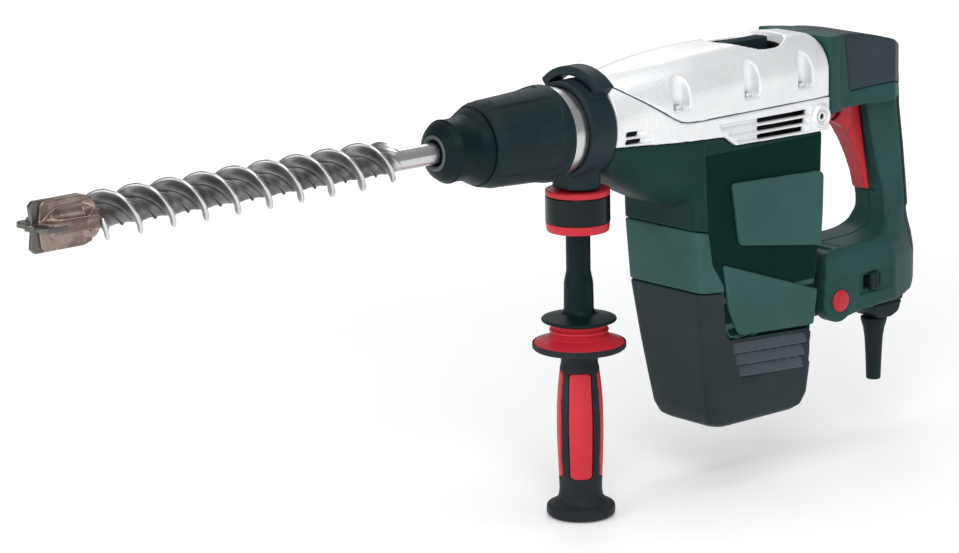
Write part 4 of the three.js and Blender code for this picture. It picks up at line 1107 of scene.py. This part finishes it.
def buildRearCap(cap):
    common(cap, prism(capLine, "y", -60, 60))
    cut(cap, block(302, 366, -24, 24, -20, 26))
    ribs = []
    for i in range(rearShape["ribs"]):
        for s in (-1, 1):
            line = [(322 + 8 * i, 4), (325 + 8 * i, 4), (333 + 8 * i, 22 - i), (330 + 8 * i, 22 - i)]
            ribs.append(prism(filleted(line, 1), "y", *sorted((s * 30, s * (33.6 - 0.32 * i)))))
    joined(cap, *ribs)
    piece(moulded(cap, 1.1, 2, "rear_cap"), "rear_cap_skin", "hood", "rear_handle", "soft_black", "rear_cap")


def buildGripPad(pad):
    common(pad, prism([*padLine, (440, -196), (440, -13.5)], "y", -60, 60))
    cut(pad, prism([(x, z - rearShape["seam"]) for x, z in capLine], "y", -60, 60))
    piece(moulded(pad, 1.1, 2, "grip_pad"), "grip_pad_skin", "rubber", "rear_handle", "soft_black", "grip_pad")


def buildHandleShells(green):
    r = rearShape
    s = r["seam"]
    capRoom = [(304 - s, 60), (313 - s, -4 - s), (371, -3 - s), (404, -13 - s), (440, -13 - s), (440, 60)]
    padRoom = [(x - s, z) for x, z in padLine] + [(440, -196), (440, -10)]
    cut(green, prism(capRoom, "y", -60, 60), prism(padRoom, "y", -60, 60))
    switchRoom = block(308, 378, -24, 24, -16, 30)
    leverSlot = block(318, 338, -16, -10, -24, -8)
    recess = prism(filleted(r["sliderRecess"], 2.5), "y", -60, -31.5)
    sliderSlot = block(334, 356, -60, -20, -187.5, -174.5)
    cut(green, prism(r["triggerSlot"], "y", -9, 9), switchRoom, leverSlot, recess, sliderSlot)
    joined(green, *[rod("y", 2.4, -26, 26, (x, 0, -145.6), 24) for x in (296, 308)])  # ribs on top of the foot
    left = common(copied(green), block(200, 500, -80, -0.15, -300, 100))
    right = common(green, block(200, 500, 0.15, 80, -300, 100))
    piece(moulded(left, 1.0, 2, "left"), "handle_left_skin", "green", "rear_handle", "green", "handle_left")
    piece(moulded(right, 1.0, 2, "right"), "handle_right_skin", "green", "rear_handle", "green", "handle_right")


controls = {
    "trigger": [(318, -21.5), (349, -21.5), (354, -46), (358.5, -72), (364.5, -103), (360.5, -103), (356.5, -88),
                (350, -73), (342, -58), (333, -45), (323, -33)],
    "triggerHalf": 8.4, "ridges": 3, "ridgePitch": 2.8,
    "lever": [(322, -11), (334, -11), (334, -40), (327, -47), (324, -41), (311, -33), (320, -28)],
    "pin": [(-39, 0), (-38.9, 6), (-38.2, 9.2), (-36.3, 10.2), (-36.3, 5), (36.3, 5), (36.3, 10.2), (38.2, 9.2),
            (38.9, 6), (39, 0)],
}


def buildControls():
    c = controls
    blade = prism(filleted(c["trigger"], 1.6, 4), "y", -c["triggerHalf"], c["triggerHalf"])
    trigger = joined(blade, block(346, 356, -5, 5, -42, -26))
    piece(moulded(trigger, 0.7, 3, "trigger"), "trigger_skin", "red", "trigger_body", "red", "trigger")
    lever = prism(filleted(c["lever"], 1.5), "y", -15.3, -10.7)
    piece(moulded(lever, 0.5, 3, "lever"), "lock_lever_skin", "red", "lock_lever", "red", "trigger_lock")
    slider = joined(block(340, 350, -35.5, -32, -189, -173), block(342, 348, -33, -18, -184, -178))
    starts = [341 + c["ridgePitch"] * i for i in range(c["ridges"])]
    joined(slider, *[block(x, x + 1.6, -36.6, -35, -187.5, -174.5) for x in starts])
    piece(moulded(slider, 0.45, 1, "slider"), "slider_skin", "black", "slider", "black", "mode_slider")
    pin = spun("pin", filleted(c["pin"], 0.5, 3, False), "y", pivotPlace, 72)
    piece(pin, "pivot_pin_skin", "red", "housing", "red", "pivot_pin")


cableShape = {
    "side": [(366, -205.4), (368, -218), (374, -224.5), (390, -225), (399, -221), (406, -205.4)],
    "grooves": (-212, -216.4), "bootX": 381,
    "boot": [(-284, 0), (-284, 6.2), (-283, 6.7), (-262, 7.4), (-245, 8.4), (-236, 9.7), (-229, 11.8),
             (-225.7, 12.2), (-225.7, 0)],
}


def buildCableExit():
    c = cableShape
    gland = joined(prism(filleted(c["side"], 2), "y", -14, 14), rod("z", 8, -206, -180, (384, 0, 0)))
    cut(gland, *[block(360, 421, *sorted((s * 12.6, s * 20)), z, z + 1.6) for s in (-1, 1) for z in c["grooves"]])
    piece(moulded(gland, 0.8, 3, "gland"), "gland_skin", "black", "rear_handle", "black", "cable_gland")
    boot = spun("boot", filleted(c["boot"], 1, 4, False), "z", (c["bootX"], 0, 0), 64)
    piece(boot, "boot_skin", "rubber", "rear_handle", "soft_black", "strain_relief")


def dressInnerNodes():
    looks = {"steel": "steel", "light_alloy": "alloy", "copper": "copper", "carbon": "carbon", "black": "black",
             "green": "green", "silver": "silver", "red": "red", "soft_black": "rubber", "neck_metal": "ring",
             "bit_steel": "bit", "brazed_steel": "brazed"}
    for row in frame["record"]["subparts"]:
        node = frame["nodes"][row["node"]]
        node.data.materials.clear()
        node.data.materials.append(materials[looks[row["material_slot"]]])


def buildFloor():
    low = min(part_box(n)[0].z for n in ("grip_cover", "base_cap"))
    size = 8
    data = bpy.data.meshes.new("floor")
    data.from_pydata([(x * size, y * size, low - 0.0005) for x, y in ((-1, -1), (1, -1), (1, 1), (-1, 1))], [],
                     [(0, 1, 2, 3)])
    floor = linked("floor", data)
    f = Finish("pale_floor", Roughness=0.7, Specular_IOR_Level=0.1, Emission_Strength=0.62)
    xyz = f.add("ShaderNodeSeparateXYZ", None, Vector=f.place())
    x, y = f.value(xyz.outputs[0]), f.value(xyz.outputs[1])
    away = (x * x + y * y).math("SQRT").step(0.5, 2.4)
    f.feed(f.shader.inputs["Emission Color"], f.blend(away, (0.34, 0.34, 0.34), (1, 1, 1)))
    grain = f.noise(3, 2)
    data.materials.append(f.finish(f.blend(grain, (0.93, 0.93, 0.93), (0.95, 0.95, 0.95))))


steps = [buildFloor, dressInnerNodes, buildBit, buildHead, buildChuck, buildClamp, buildSideHandle, buildTopCover,
         buildFrontHousing, buildGearHousing, buildMotorHousing, buildSidePanels, buildBaseCap, buildScrews,
         buildKnob, buildRearHandle, buildControls, buildCableExit]
for step in steps:
    step()
    print("made", step.__name__)
